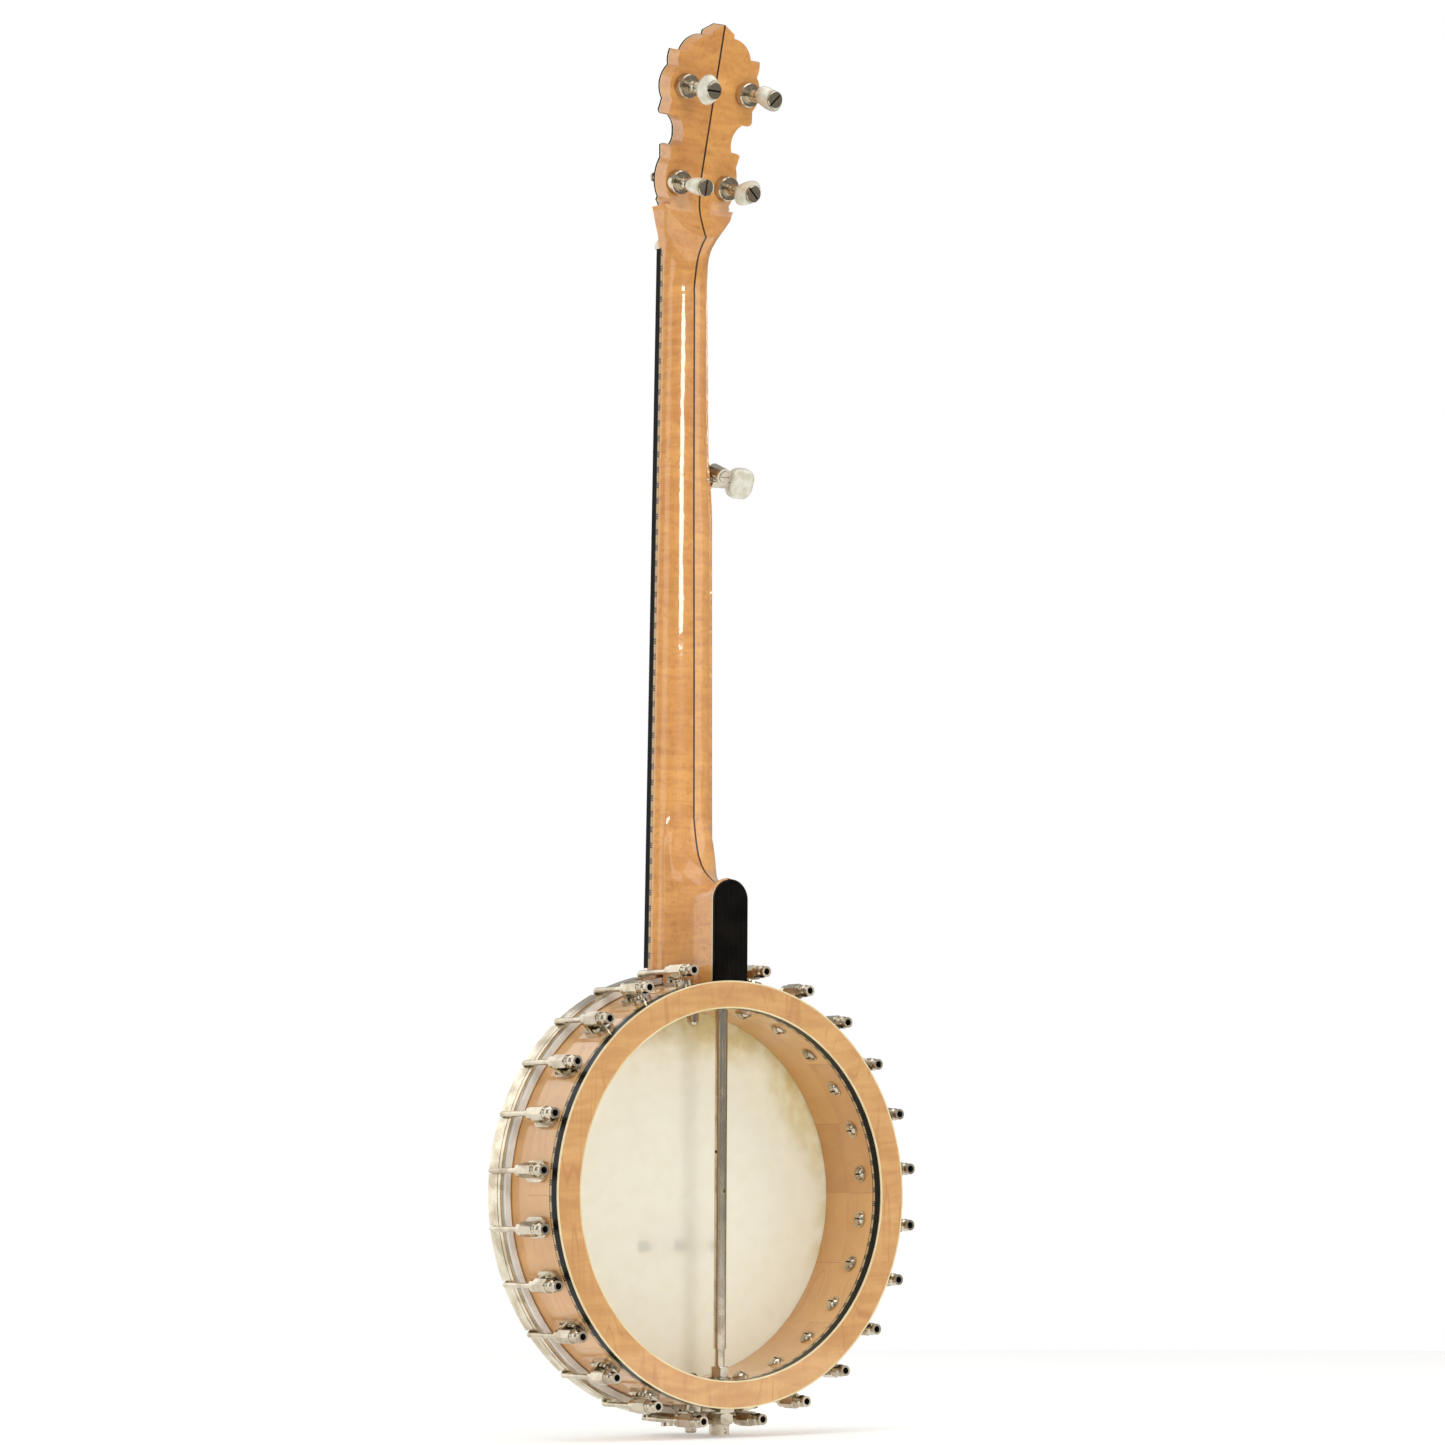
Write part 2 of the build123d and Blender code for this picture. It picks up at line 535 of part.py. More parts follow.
def neck_blank():
    """The whole neck, heel and peghead core, before it is split along the middle."""
    spans = [loft([neck_section(*row) for row in span]) for span in NECK_SPANS]
    shaft = spans[0] + spans[1:]
    heel = loft([arch_face(*row) for row in HEEL_SECTIONS])
    peghead = PEGHEAD * deepen(peghead_outline(), -PEGHEAD_WOOD, 0)
    nut_back = BOARD_LENGTH + NUT_LENGTH
    behind_nut = box_between(-60, 60, -60, 120, nut_back, 700)
    plan = NECK * deepen(board_outline(), -1, 90)
    nut_shelf = NECK * box_between(-NUT_HALF_WIDTH, NUT_HALF_WIDTH, -1, 90, BOARD_LENGTH, nut_back)
    foot = NECK * box_between(-40, 40, -1, 90, -40, 0)
    crown = (PEGHEAD * deepen(peghead_outline(), -PEGHEAD_WOOD, 60)) & (NECK * behind_nut)
    blank = NECK * shaft + NECK * heel
    blank = blank & (plan + nut_shelf + foot + crown)
    limit = NECK * volute_limit()
    crest = NECK * box_between(-60, 60, BOARD_THICKNESS, 60, 509, 536)
    blank = (blank + (peghead & (NECK * behind_nut))) & limit
    blank = blank + (crest & crown & limit) - tuner_seats()
    facing_space = PEGHEAD * box_between(-60, 60, -60, -PEGHEAD_WOOD, -70, 120)
    return blank - (facing_space & (NECK * behind_nut)) - rim_clearance()


def neck_parts():
    """The neck's two halves and centre strip, the rod inside it and its heel cap."""
    blank = neck_blank()
    outline = board_outline()
    front, back = BOARD_THICKNESS, BOARD_THICKNESS + PURFLING_HEIGHT
    core = Pos(PURFLING_WIDTH, 0, 0) * deepen(outline, front - 1, back + 1)
    core = core & (Pos(-PURFLING_WIDTH, 0, 0) * deepen(outline, front - 1, back + 1))
    strips = NECK * (deepen(outline, front, back) - core)
    strip_space = NECK * (box_between(-60, 60, front - 1, back, 0, BOARD_LENGTH) - core)
    channel = NECK * box_between(-3, 3, BOARD_THICKNESS, 13.2, 12, 470)
    truss_rod = NECK * box_between(-2.95, 2.95, BOARD_THICKNESS + 0.05, 13.1, 12.1, 469.9)
    bolt_space = [
        ROD * disc_between(3.0, 0, rod_level(178.2)),
        ROD * Pos(0, -NECK_BOLT_DROP, 0) * disc_between(2.5, 0, rod_level(178.2)),
    ]
    peg_hole = FIFTH * Pos(5, 0, 0) * Rot(Y=90) * Cylinder(3.0, 20)
    blank = blank - strip_space - channel - bolt_space - tuner_holes(5.0) - peg_hole
    half = CENTRE_STRIP_HALF
    treble = blank & box_between(half, 90, -200, 200, 0, 900)
    bass = blank & box_between(-90, -half, -200, 200, 0, 900)
    strip = blank & box_between(-half, half, -200, 200, 0, 900)
    veneer = deepen(arch_face(0, HEEL_CAP_TOP, HEEL_CAP_HALF_WIDTH, 1.0), HEEL_CAP_FRONT - HEEL_VENEER, HEEL_CAP_FRONT)
    cap = deepen(arch_face(0, HEEL_CAP_TOP, HEEL_CAP_HALF_WIDTH, 1.0), HEEL_CAP_FRONT, HEEL_CAP_BACK)
    cap = chamfer(cap.faces().sort_by(Axis.Y)[-1].edges(), 1.0)
    return {
        "neck_treble_half": treble,
        "neck_centre_strip": strip,
        "neck_bass_half": bass,
        "truss_rod": truss_rod,
        "heel_cap_veneer": NECK * veneer - rim_clearance(),
        "heel_cap": NECK * cap - rim_clearance(),
        "fingerboard_purfling": strips,
    }


def fret_height(number):
    """Distance of a fret from the fingerboard's pot end."""
    return BOARD_LENGTH - SCALE_LENGTH * (1 - 2 ** (-number / 12))


def fingerboard_parts():
    """The fingerboard with its frets, inlaid dots, nut and fifth-string nut."""
    board = deepen(board_outline(), 0, BOARD_THICKNESS)
    frets = []
    crown_r = 1.15
    for number in range(1, FRET_COUNT + 1):
        z = fret_height(number)
        left, right = -bass_half_width(z) + 0.4, treble_half_width(z) - 0.4
        bar = Pos((left + right) / 2, 0.1, z) * Rot(Y=90) * Cylinder(crown_r, right - left)
        bar = bar & box_between(-40, 40, -5, 0, z - 3, z + 3)
        tang = box_between(left, right, 0, 2.2, z - 0.3, z + 0.3)
        frets.append(bar + tang)
        board = board - tang
    markers = []
    for number in (3, 5, 7, 10, 12, 15, 17):
        z = (fret_height(number) + fret_height(number - 1)) / 2
        dot = Pos(0, 0.6, z) * Rot(X=90) * Cylinder(3.0, 1.2)
        markers.append(dot)
        board = board - dot
    nut_top = -NUT_STRING_HEIGHT - 0.4
    half = NUT_HALF_WIDTH
    nut = box_between(-half, half, nut_top, BOARD_THICKNESS, BOARD_LENGTH, BOARD_LENGTH + NUT_LENGTH)
    nut = chamfer(nut.edges().filter_by(Axis.X).group_by(Axis.Y)[0].sort_by(Axis.Z)[-1], 1.8)
    pip_z = fret_height(5) + 4.0
    pip_hole = Pos(-18.9, 0, pip_z) * ALONG_Y * disc_between(1.6, -0.5, 3.0)
    pip = Pos(-18.9, 0, pip_z) * ALONG_Y * disc_between(1.6, -2.9, 3.0)
    pip = pip - box_between(-19.6, -18.65, -4, -2.0, pip_z - 3, pip_z + 3)
    return {
        "fingerboard": NECK * (board - pip_hole),
        "frets": [NECK * fret for fret in frets],
        "position_markers": [NECK * dot for dot in markers],
        "nut": NECK * nut,
        "fifth_string_nut": NECK * pip,
    }


def peghead_facing_parts():
    """The thin veneer and the black overlay on the peghead's front."""
    behind_nut = NECK * box_between(-60, 60, -60, 120, BOARD_LENGTH + NUT_LENGTH, 700)
    holes = tuner_holes(5.0)
    veneer_back = -PEGHEAD_WOOD
    overlay_back = veneer_back - PEGHEAD_VENEER
    veneer = (PEGHEAD * deepen(peghead_outline(), overlay_back, veneer_back)) & behind_nut
    overlay = (PEGHEAD * deepen(peghead_outline(), -PEGHEAD_THICKNESS, overlay_back)) & behind_nut
    return {"peghead_veneer": veneer - holes, "peghead_overlay": overlay - holes}


# ---- tuners: z runs out of the peghead's back, towards the button ----

PLANET_CIRCLE = 4.4
PLANET_R = 2.15


def tuner_housing():
    """Drum and threaded sleeve of a planetary tuner, hollow for its gears."""
    drum = disc_between(8.25, 0, 6.5)
    drum = chamfer(drum.edges().group_by(Axis.Z)[-1], 0.7)
    body = drum + disc_between(4.9, -18.6, 0)
    body = body - disc_between(6.6, 1.5, 5.3) - disc_between(POST_R + SHAFT_CLEARANCE, -20, 2)
    return body - disc_between(2.5 + SHAFT_CLEARANCE, 5, 7)


def tuner_bushing():
    """Washer and hexagon nut that clamp a tuner from the peghead's front."""
    front = -PEGHEAD_THICKNESS
    washer = disc_between(7.4, front - 0.8, front) - disc_between(4.95, -20, 0)
    return [washer, hex_nut(11.0, front - 4.2, front - 0.8, 4.92)]


def string_post():
    """String post with its planet carrier, and the planets on their pins."""
    post = disc_between(POST_R, -27.6, 1.6) + disc_between(6.3, 1.6, 2.6)
    waist = disc_between(POST_R + 1, -25.2, -21.4) - disc_between(POST_R - 0.5, -26, -21)
    eye = Pos(0, 0, -23.3) * Rot(X=90) * Cylinder(0.7, 10)
    post = chamfer(post.edges().group_by(Axis.Z)[0], 0.5) - waist - eye
    planets = []
    for k in range(3):
        spot = Rot(Z=120 * k) * Pos(PLANET_CIRCLE, 0, 0)
        post = post + spot * disc_between(0.7, 2.6, 5.0)
        planets.append(spot * (disc_between(PLANET_R, 2.7, 5.0) - disc_between(0.75, 2, 6)))
    return [post] + planets


def tuner_shaft():
    """Button shaft with its sun wheel and stepped collars, and the slotted end screw."""
    shaft = disc_between(PLANET_R, 2.75, 5.15) + disc_between(2.5, 5.15, 31.0)
    shaft = shaft + disc_between(5.6, 6.6, 8.0) + disc_between(4.5, 8.0, 10.4)
    shaft = shaft + disc_between(3.7, 10.4, 13.4) + disc_between(4.3, 13.4, 15.0) + disc_between(3.3, 15.0, 18.5)
    shaft = shaft - disc_between(1.2, 24, 32)
    screw = disc_between(1.2, 26, 33.6) + disc_between(5.75, 33.6, 35.4)
    screw = chamfer(screw.edges().group_by(Axis.Z)[-1], 0.4)
    return [shaft, screw - box_between(-7, 7, -0.6, 0.6, 34.6, 36)]


def tuner_button():
    """Flattened pearloid button, narrow at the shaft and wide at its shoulders."""
    stations = [(18.5, 4.6, 4.2), (22.5, 8.2, 5.4), (27.0, 10.2, 5.9), (31.0, 9.2, 5.8), (33.6, 7.4, 5.6)]
    body = loft([Pos(0, 0, z) * Ellipse(long_r, short_r) for z, long_r, short_r in stations])
    return body - disc_between(2.5, 17, 31.0) - disc_between(1.2, 30, 35)


def tuner_parts():
    """The four peghead tuners."""
    parts = {"tuner_housings": [], "tuner_bushings": []}
    for number, (_, _, turn) in TUNERS.items():
        place = tuner_place(number)
        turned = place * Rot(Z=turn)
        parts["tuner_housings"].append(place * tuner_housing())
        parts["tuner_bushings"] += [place * piece for piece in tuner_bushing()]
        parts[f"string_post_{number}"] = [place * piece for piece in string_post()]
        parts[f"tuner_shaft_{number}"] = [turned * piece for piece in tuner_shaft()]
        parts[f"tuner_button_{number}"] = turned * Rot(Z=90) * tuner_button()
    return parts


# ---- fifth peg: x runs into the neck's side, -y along its post ----

WHEEL_X = -7.0
WHEEL_Z = 5.0
WHEEL_R = 3.35
WORM_R = 1.6


def fifth_peg_parts():
    """The geared fifth peg: housing screwed to the neck, post with wheel, worm shaft, button."""
    barrel_at = Pos(WHEEL_X, 0, WHEEL_Z) * ALONG_Y
    barrel = barrel_at * disc_between(5.6, -7.0, 6.5)
    boss = Rot(Y=-90) * disc_between(4.3, 1.0, 14.0)
    collar = Rot(Y=-90) * disc_between(5.2, 0.0, 2.0)
    stud = Rot(Y=-90) * disc_between(3.0, -10.0, 0.5)
    housing = barrel + boss + collar + stud
    wheel_space = barrel_at * disc_between(WHEEL_R + 0.25, -2.2, 2.2)
    post_bore = barrel_at * disc_between(2.5 + SHAFT_CLEARANCE, -9.0, 0.0)
    screw_space = barrel_at * disc_between(3.9, 2.0, 9.0)
    worm_space = Rot(Y=-90) * disc_between(WORM_R + 0.3, 2.6, 11.4)
    shaft_bore = Rot(Y=-90) * disc_between(1.5 + SHAFT_CLEARANCE, 2.6, 16.0)
    housing = housing - wheel_space - post_bore - screw_space - worm_space - shaft_bore
    post = disc_between(2.5, -20.0, -2.0) + disc_between(WHEEL_R, -2.0, 2.0)
    post = chamfer(post.edges().group_by(Axis.Z)[0], 0.4)
    post = post - Pos(0, 0, -17.0) * Rot(Y=90) * Cylinder(0.6, 8)
    post = post - disc_between(1.2, -1.0, 3.0)
    screw = disc_between(1.2, -0.9, 2.6) + disc_between(3.7, 2.6, 6.9)
    screw = screw - box_between(-5, 5, -0.45, 0.45, 5.9, 8)
    shaft = disc_between(WORM_R, 2.9, 11.1) + disc_between(1.5, 11.1, 28.0) + disc_between(2.9, 14.2, 15.6)
    button = extrude(RectangleRounded(19.6, 21, 7.6), 4.0, both=True)
    button = fillet(button.edges().group_by(Axis.Z)[0] + button.edges().group_by(Axis.Z)[-1], 2.6)
    button = Pos(-25.6, 0, 0) * Rot(X=90) * button
    button = button - Rot(Y=-90) * disc_between(1.5, 15.0, 28.0)
    return {
        "fifth_peg_housing": FIFTH * housing,
        "fifth_peg_post": [FIFTH * barrel_at * post, FIFTH * barrel_at * screw],
        "fifth_peg_shaft": FIFTH * Rot(Y=-90) * shaft,
        "fifth_peg_button": FIFTH * button,
    }


# ---- bridge and strings, in the pot frame ----

def bridge_parts():
    """The three-footed bridge: maple body and ebony cap, narrower at the top."""
    cap = 1.8
    face = make_face(Polyline((-34, 0), (34, 0), (29.5, -BRIDGE_HEIGHT), (-29.5, -BRIDGE_HEIGHT), close=True))
    upright = extrude(face, 5, both=True)
    for side in (-1, 1):
        arch = Pos(side * 14.6, 0, 0) * extrude(SlotOverall(20, 17), 6, both=True)
        upright = upright - arch
    wedge_points = [(0, 3.6), (0, -3.6), (-BRIDGE_HEIGHT, -1.5), (-BRIDGE_HEIGHT, 1.5)]
    wedge = make_face(Polyline(*[(0, y, z) for y, z in wedge_points], close=True))
    upright = upright & extrude(wedge, 40, both=True, dir=(1, 0, 0))
    body = upright & box_between(-40, 40, cap - BRIDGE_HEIGHT, 1, -10, 10)
    top = upright & box_between(-40, 40, -BRIDGE_HEIGHT - 1, cap - BRIDGE_HEIGHT, -10, 10)
    place = Pos(0, HEAD_FRONT_Y, BRIDGE_Z)
    return {"bridge_body": place * body, "bridge_cap": place * top}


def strings():
    """Five strings from the tailpiece lugs over the bridge to their pegs."""
    bridge_y = HEAD_FRONT_Y - BRIDGE_HEIGHT
    radii = [0.15, 0.16, 0.2, 0.3, 0.15]
    nut_place = (NECK * Pos(0, -NUT_STRING_HEIGHT, BOARD_LENGTH + 1.5)).position
    runs = []
    for k, radius in enumerate(radii):
        bridge_x = (2 - k) * STRING_SPACING_BRIDGE
        lug_x = (2 - k) * 5.3
        lift = radius + 0.15
        skirt_face = rod_level(TAIL_SKIRT_Z - TAIL_PLATE) - lift
        lug = (ROD * Pos(lug_x, -50.2, skirt_face)).position
        corner = (ROD * Pos(lug_x, -67.6 - lift, skirt_face - 0.1)).position
        lip = (ROD * Pos(lug_x, -62.3 - lift, rod_level(-117))).position
        saddle = Vector(bridge_x, bridge_y - radius - 0.05, BRIDGE_Z)
        if k < 4:
            nut_x = (1.5 - k) * STRING_SPACING_NUT
            over_nut = Vector(nut_x, nut_place.Y - 0.7 - radius, nut_place.Z)
            number = k + 1
            post_x, _, _ = TUNERS[number]
            inner = POST_R + radius + 0.4
            shift = -inner if post_x > 0 else inner
            end = (tuner_place(number) * Pos(shift, 0, -20.2)).position
        else:
            pip = (NECK * Pos(-18.9, -2.35 - radius, fret_height(5) + 4.0)).position
            over_nut = pip
            end = (FIFTH * Pos(WHEEL_X + 2.5 + radius + 0.4, -15.5, WHEEL_Z)).position
        points = [lug, corner, lip, saddle, over_nut, end]
        runs.append(wire([tuple(p) for p in points], radius, 1.2))
    return {"strings": runs}


def build():
    """Every node of the banjo, standing on the level of its lowest hardware."""
    parts = {}
    for group in (
        rim_parts, head_parts, bracket_parts, rod_parts, tail_parts, neck_parts, fingerboard_parts,
        peghead_facing_parts, tuner_parts, fifth_peg_parts, bridge_parts, strings,
    ):
        parts.update(group())
    return {name: [POT * solid for solid in solids_of(shape)] for name, shape in parts.items()}


os.makedirs("parts", exist_ok=True)
for node, solids in build().items():
    shape = solids[0] if len(solids) == 1 else Compound(children=solids)
    export_step(shape, f"parts/{node}.step")
    print(node, len(solids), [round(v, 1) for v in shape.bounding_box().size])
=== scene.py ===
"""Finishes, fine pieces, light and camera for an open-back five-string banjo with a block-built rim."""
import json
import logging
import math
from dataclasses import dataclass
from enum import Enum

import bmesh
import bpy
from mathutils import Euler, Matrix, Vector


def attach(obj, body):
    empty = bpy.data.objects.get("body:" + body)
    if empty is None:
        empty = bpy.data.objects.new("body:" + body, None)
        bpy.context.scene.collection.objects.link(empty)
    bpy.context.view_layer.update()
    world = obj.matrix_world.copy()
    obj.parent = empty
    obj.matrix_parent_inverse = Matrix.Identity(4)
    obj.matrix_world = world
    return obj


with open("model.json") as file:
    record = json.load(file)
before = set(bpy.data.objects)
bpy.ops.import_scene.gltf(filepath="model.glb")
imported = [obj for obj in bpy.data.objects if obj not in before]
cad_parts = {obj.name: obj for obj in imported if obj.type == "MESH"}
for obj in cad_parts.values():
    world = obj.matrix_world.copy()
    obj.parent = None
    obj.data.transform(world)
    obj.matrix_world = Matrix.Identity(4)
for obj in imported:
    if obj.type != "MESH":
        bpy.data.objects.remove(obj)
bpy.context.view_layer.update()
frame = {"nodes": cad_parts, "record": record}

log = logging.getLogger("banjo")

Colour = tuple[float, float, float]
Socket = bpy.types.NodeSocket
Value = Socket | float | tuple[float, ...]

MM = 0.001
POT_CENTRE = (0.0, 0.0, 0.158)
COURSE_BLOCKS = 8
RIM_BARS = 84                      # marquetry bars round the rim
BAR_PITCH = 10.5 * MM              # the same bars along the fingerboard
TUNER_SPOTS = {                    # a tuner's x and height on the peghead in mm, and its button's turn
    1: (19.6, -6.7, 90.0), 2: (25.0, 57.3, 0.0), 3: (-25.0, 57.3, 50.0), 4: (-19.6, -6.7, -40.0),
}
BODY = "banjo"


@dataclass(frozen=True)
class Place:
    """A sub-assembly's own axes: where they start, and how far they lean back about X."""

    origin: tuple[float, float, float]
    lean: float

    def matrix(self) -> Matrix:
        """The place as a transform."""
        return Matrix.Translation(self.origin) @ Matrix.Rotation(math.radians(self.lean), 4, "X")


NECK = Place((0.0, -0.0702, 0.308), -1.15)
PEGHEAD = Place((0.0, -0.0298, 0.8393), -16.05)
ROD = Place((0.0, -0.0131, 0.273), -1.15)
FIFTH = Place((-0.0203, -0.052, 0.6365), -23.0)
POT = Place(POT_CENTRE, 0.0)


# ---- laying out nodes ----

class Sketch:
    """Adds nodes to one tree and joins them."""

    def __init__(self, tree: bpy.types.NodeTree) -> None:
        """Starts on an empty tree."""
        self.tree = tree
        self.count = 0

    def node(self, kind: str, inputs: dict[str | int, Value] | None = None, **settings: object) -> bpy.types.Node:
        """Adds a node.

        Args:
            kind: The node's type.
            inputs: What each input takes, a socket or a plain value.
            **settings: The node's own choices.

        Returns:
            The new node.
        """
        made = self.tree.nodes.new(kind)
        made.location = (180 * (self.count % 12), -220 * (self.count // 12))
        self.count += 1
        for name, choice in settings.items():
            setattr(made, name, choice)
        for key, value in (inputs or {}).items():
            self.feed(made.inputs[key], value)
        return made

    def feed(self, socket: Socket, value: Value) -> None:
        """Joins a socket to another, or sets it to a plain value.

        Args:
            socket: The input.
            value: An output socket, a number or a tuple.
        """
        if isinstance(value, bpy.types.NodeSocket):
            self.tree.links.new(value, socket)
        else:
            socket.default_value = value

    def maths(self, operation: str, *values: Value, clamp: bool = False) -> Socket:
        """One step of arithmetic.

        Args:
            operation: The Math node's operation.
            *values: Its inputs in order.
            clamp: Whether the result stays between 0 and 1.

        Returns:
            The result.
        """
        made = self.node("ShaderNodeMath", dict(enumerate(values)), operation=operation, use_clamp=clamp)
        return made.outputs[0]

    def mix(self, share: Value, low: Value, high: Value, blend: str = "MIX") -> Socket:
        """Mixes two colours.

        Args:
            share: How much of the second one.
            low: The first colour.
            high: The second colour.
            blend: The way they combine.

        Returns:
            The mixed colour.
        """
        made = self.node("ShaderNodeMix", {0: share}, data_type="RGBA", blend_type=blend)
        self.feed(made.inputs[6], solid(low))
        self.feed(made.inputs[7], solid(high))
        return made.outputs[2]

    def span(self, value: Value, low: float, high: float, to_low: Value = 0.0, to_high: Value = 1.0) -> Socket:
        """Spreads a range over another, with soft ends.

        Args:
            value: What is spread.
            low: Where the first range starts.
            high: Where it ends.
            to_low: Where the second range starts.
            to_high: Where it ends.

        Returns:
            The value in the second range.
        """
        ends = {"Value": value, "From Min": low, "From Max": high, "To Min": to_low, "To Max": to_high}
        return self.node("ShaderNodeMapRange", ends, interpolation_type="SMOOTHSTEP").outputs[0]

    def scaled(self, vector: Value, scale: tuple[float, float, float]) -> Socket:
        """A vector stretched by a factor on each axis."""
        return self.node("ShaderNodeVectorMath", {0: vector, 1: scale}, operation="MULTIPLY").outputs[0]

    def noise(self, vector: Value, scale: float, detail: float = 2.0, distortion: float = 0.0) -> Socket:
        """Smooth noise.

        Args:
            vector: Where it is read.
            scale: Its fineness.
            detail: How many octaves it has.
            distortion: How far it swirls.

        Returns:
            The noise, about 0.5 on average.
        """
        inputs = {"Vector": vector, "Scale": scale, "Detail": detail, "Distortion": distortion}
        return self.node("ShaderNodeTexNoise", inputs).outputs[0]

    def local(self, place: Place) -> Socket:
        """Object coordinates read in a sub-assembly's own axes.

        Args:
            place: Those axes.

        Returns:
            The coordinates, in metres.
        """
        where = self.node("ShaderNodeTexCoord").outputs["Object"]
        turn = (math.radians(place.lean), 0.0, 0.0)
        inputs = {"Vector": where, "Location": place.origin, "Rotation": turn}
        return self.node("ShaderNodeMapping", inputs, vector_type="TEXTURE").outputs[0]

    def group(self, tree: bpy.types.NodeTree, inputs: dict[str, Value]) -> bpy.types.Node:
        """Places a node group.

        Args:
            tree: The group.
            inputs: What its inputs take.

        Returns:
            The group's node.
        """
        made = self.node("ShaderNodeGroup", node_tree=tree)
        for name, value in inputs.items():
            self.feed(made.inputs[name], solid(value) if made.inputs[name].type == "RGBA" else value)
        return made


def solid(value: Value) -> Value:
    """A colour with its fourth number, or whatever else was given."""
    if isinstance(value, tuple) and len(value) == 3:
        return (*value, 1.0)
    return value


class GroupMaker:
    """A node group in the making: its sockets, its nodes and what it puts out."""

    def __init__(self, name: str, inputs: dict[str, str], outputs: dict[str, str]) -> None:
        """Makes the group's sockets.

        Args:
            name: The group's name.
            inputs: Each input's name and kind: Float, Vector or Color.
            outputs: The same for its outputs.
        """
        self.tree = bpy.data.node_groups.new(name, "ShaderNodeTree")
        for way, sockets in (("INPUT", inputs), ("OUTPUT", outputs)):
            for label, kind in sockets.items():
                self.tree.interface.new_socket(label, in_out=way, socket_type=f"NodeSocket{kind}")
        self.sketch = Sketch(self.tree)
        self.given = self.sketch.node("NodeGroupInput").outputs
        self.out = self.sketch.node("NodeGroupOutput").inputs

    def finish(self, **results: Socket) -> bpy.types.NodeTree:
        """Joins the results to the group's outputs and hands the group over."""
        for name, socket in results.items():
            self.sketch.feed(self.out[name], socket)
        return self.tree


def make_maple_group() -> bpy.types.NodeTree:
    """Maple with its grain along Z: growth lines, fine streaks, curl across the grain, small eyes and flecks.

    Returns:
        The group, which puts out Color, Roughness and Height.
    """
    inputs = {
        "Vector": "Vector", "Light": "Color", "Mid": "Color", "Dark": "Color", "Line": "Color",
        "Rings": "Float", "Curl": "Float", "Eyes": "Float", "Fleck": "Float", "Tone": "Float", "Seed": "Float",
    }
    made = GroupMaker("maple_figure", inputs, {"Color": "Color", "Roughness": "Float", "Height": "Float"})
    s, given = made.sketch, made.given
    seed = s.node("ShaderNodeCombineXYZ", {"X": given["Seed"], "Y": given["Seed"], "Z": 0.0}).outputs[0]
    start = s.node("ShaderNodeVectorMath", {0: given["Vector"], 1: seed}, operation="ADD").outputs[0]
    wander = s.node("ShaderNodeTexNoise", {"Vector": start, "Scale": 14.0, "Detail": 2.0}).outputs["Color"]
    wander = s.node("ShaderNodeVectorMath", {0: wander, 1: (0.5, 0.5, 0.5)}, operation="SUBTRACT").outputs[0]
    wander = s.scaled(wander, (0.009, 0.009, 0.02))
    bent = s.node("ShaderNodeVectorMath", {0: start, 1: wander}, operation="ADD").outputs[0]
    streak = s.noise(s.scaled(bent, (1.0, 1.0, 0.035)), 760.0, 3.0)
    rings = s.noise(s.scaled(start, (1.0, 1.0, 0.16)), 34.0, 1.0, 0.6)
    rings = s.maths("PINGPONG", s.maths("MULTIPLY", rings, 9.0), 0.5)
    line = s.span(rings, 0.0, 0.13, 1.0, 0.0)
    broken = s.noise(s.scaled(bent, (1.0, 1.0, 0.4)), 48.0, 2.0)
    line = s.maths("MULTIPLY", line, s.span(broken, 0.4, 0.62, 0.05, 1.0))
    line = s.maths("MULTIPLY", line, given["Rings"])
    eyes = s.noise(s.scaled(bent, (0.8, 0.8, 1.0)), 260.0, 3.0, 0.5)
    eyes = s.maths("MULTIPLY", s.span(eyes, 0.5, 0.7), given["Eyes"])
    curl = s.noise(s.scaled(bent, (0.2, 0.2, 1.0)), 170.0, 2.5, 0.6)
    curl = s.maths("MULTIPLY", s.maths("SUBTRACT", s.span(curl, 0.3, 0.7), 0.5), given["Curl"])
    fleck = s.noise(s.scaled(bent, (1.0, 1.0, 0.16)), 1500.0, 1.0)
    fleck = s.maths("MULTIPLY", s.span(fleck, 0.6, 0.72), given["Fleck"])
    mottle = s.noise(start, 26.0, 3.0)
    share = s.maths("ADD", s.span(mottle, 0.3, 0.7, 0.25, 0.75), curl)
    share = s.maths("ADD", share, s.maths("MULTIPLY", s.maths("SUBTRACT", streak, 0.5), 0.55))
    share = s.maths("ADD", share, s.maths("MULTIPLY", s.maths("SUBTRACT", given["Tone"], 0.5), 0.8), clamp=True)
    colour = s.mix(share, given["Mid"], given["Light"])
    colour = s.mix(s.maths("MULTIPLY", line, 0.6), colour, given["Line"])
    shade = s.maths("ADD", s.maths("MULTIPLY", eyes, 0.4), s.maths("MULTIPLY", fleck, 0.45), clamp=True)
    colour = s.mix(shade, colour, given["Dark"])
    rough = s.span(s.maths("ADD", streak, s.maths("MULTIPLY", curl, 0.4)), 0.2, 0.8, 0.34, 0.5)
    height = s.maths("SUBTRACT", s.maths("MULTIPLY", streak, 0.5), s.maths("MULTIPLY", fleck, 0.5))
    return made.finish(Color=colour, Roughness=rough, Height=height)


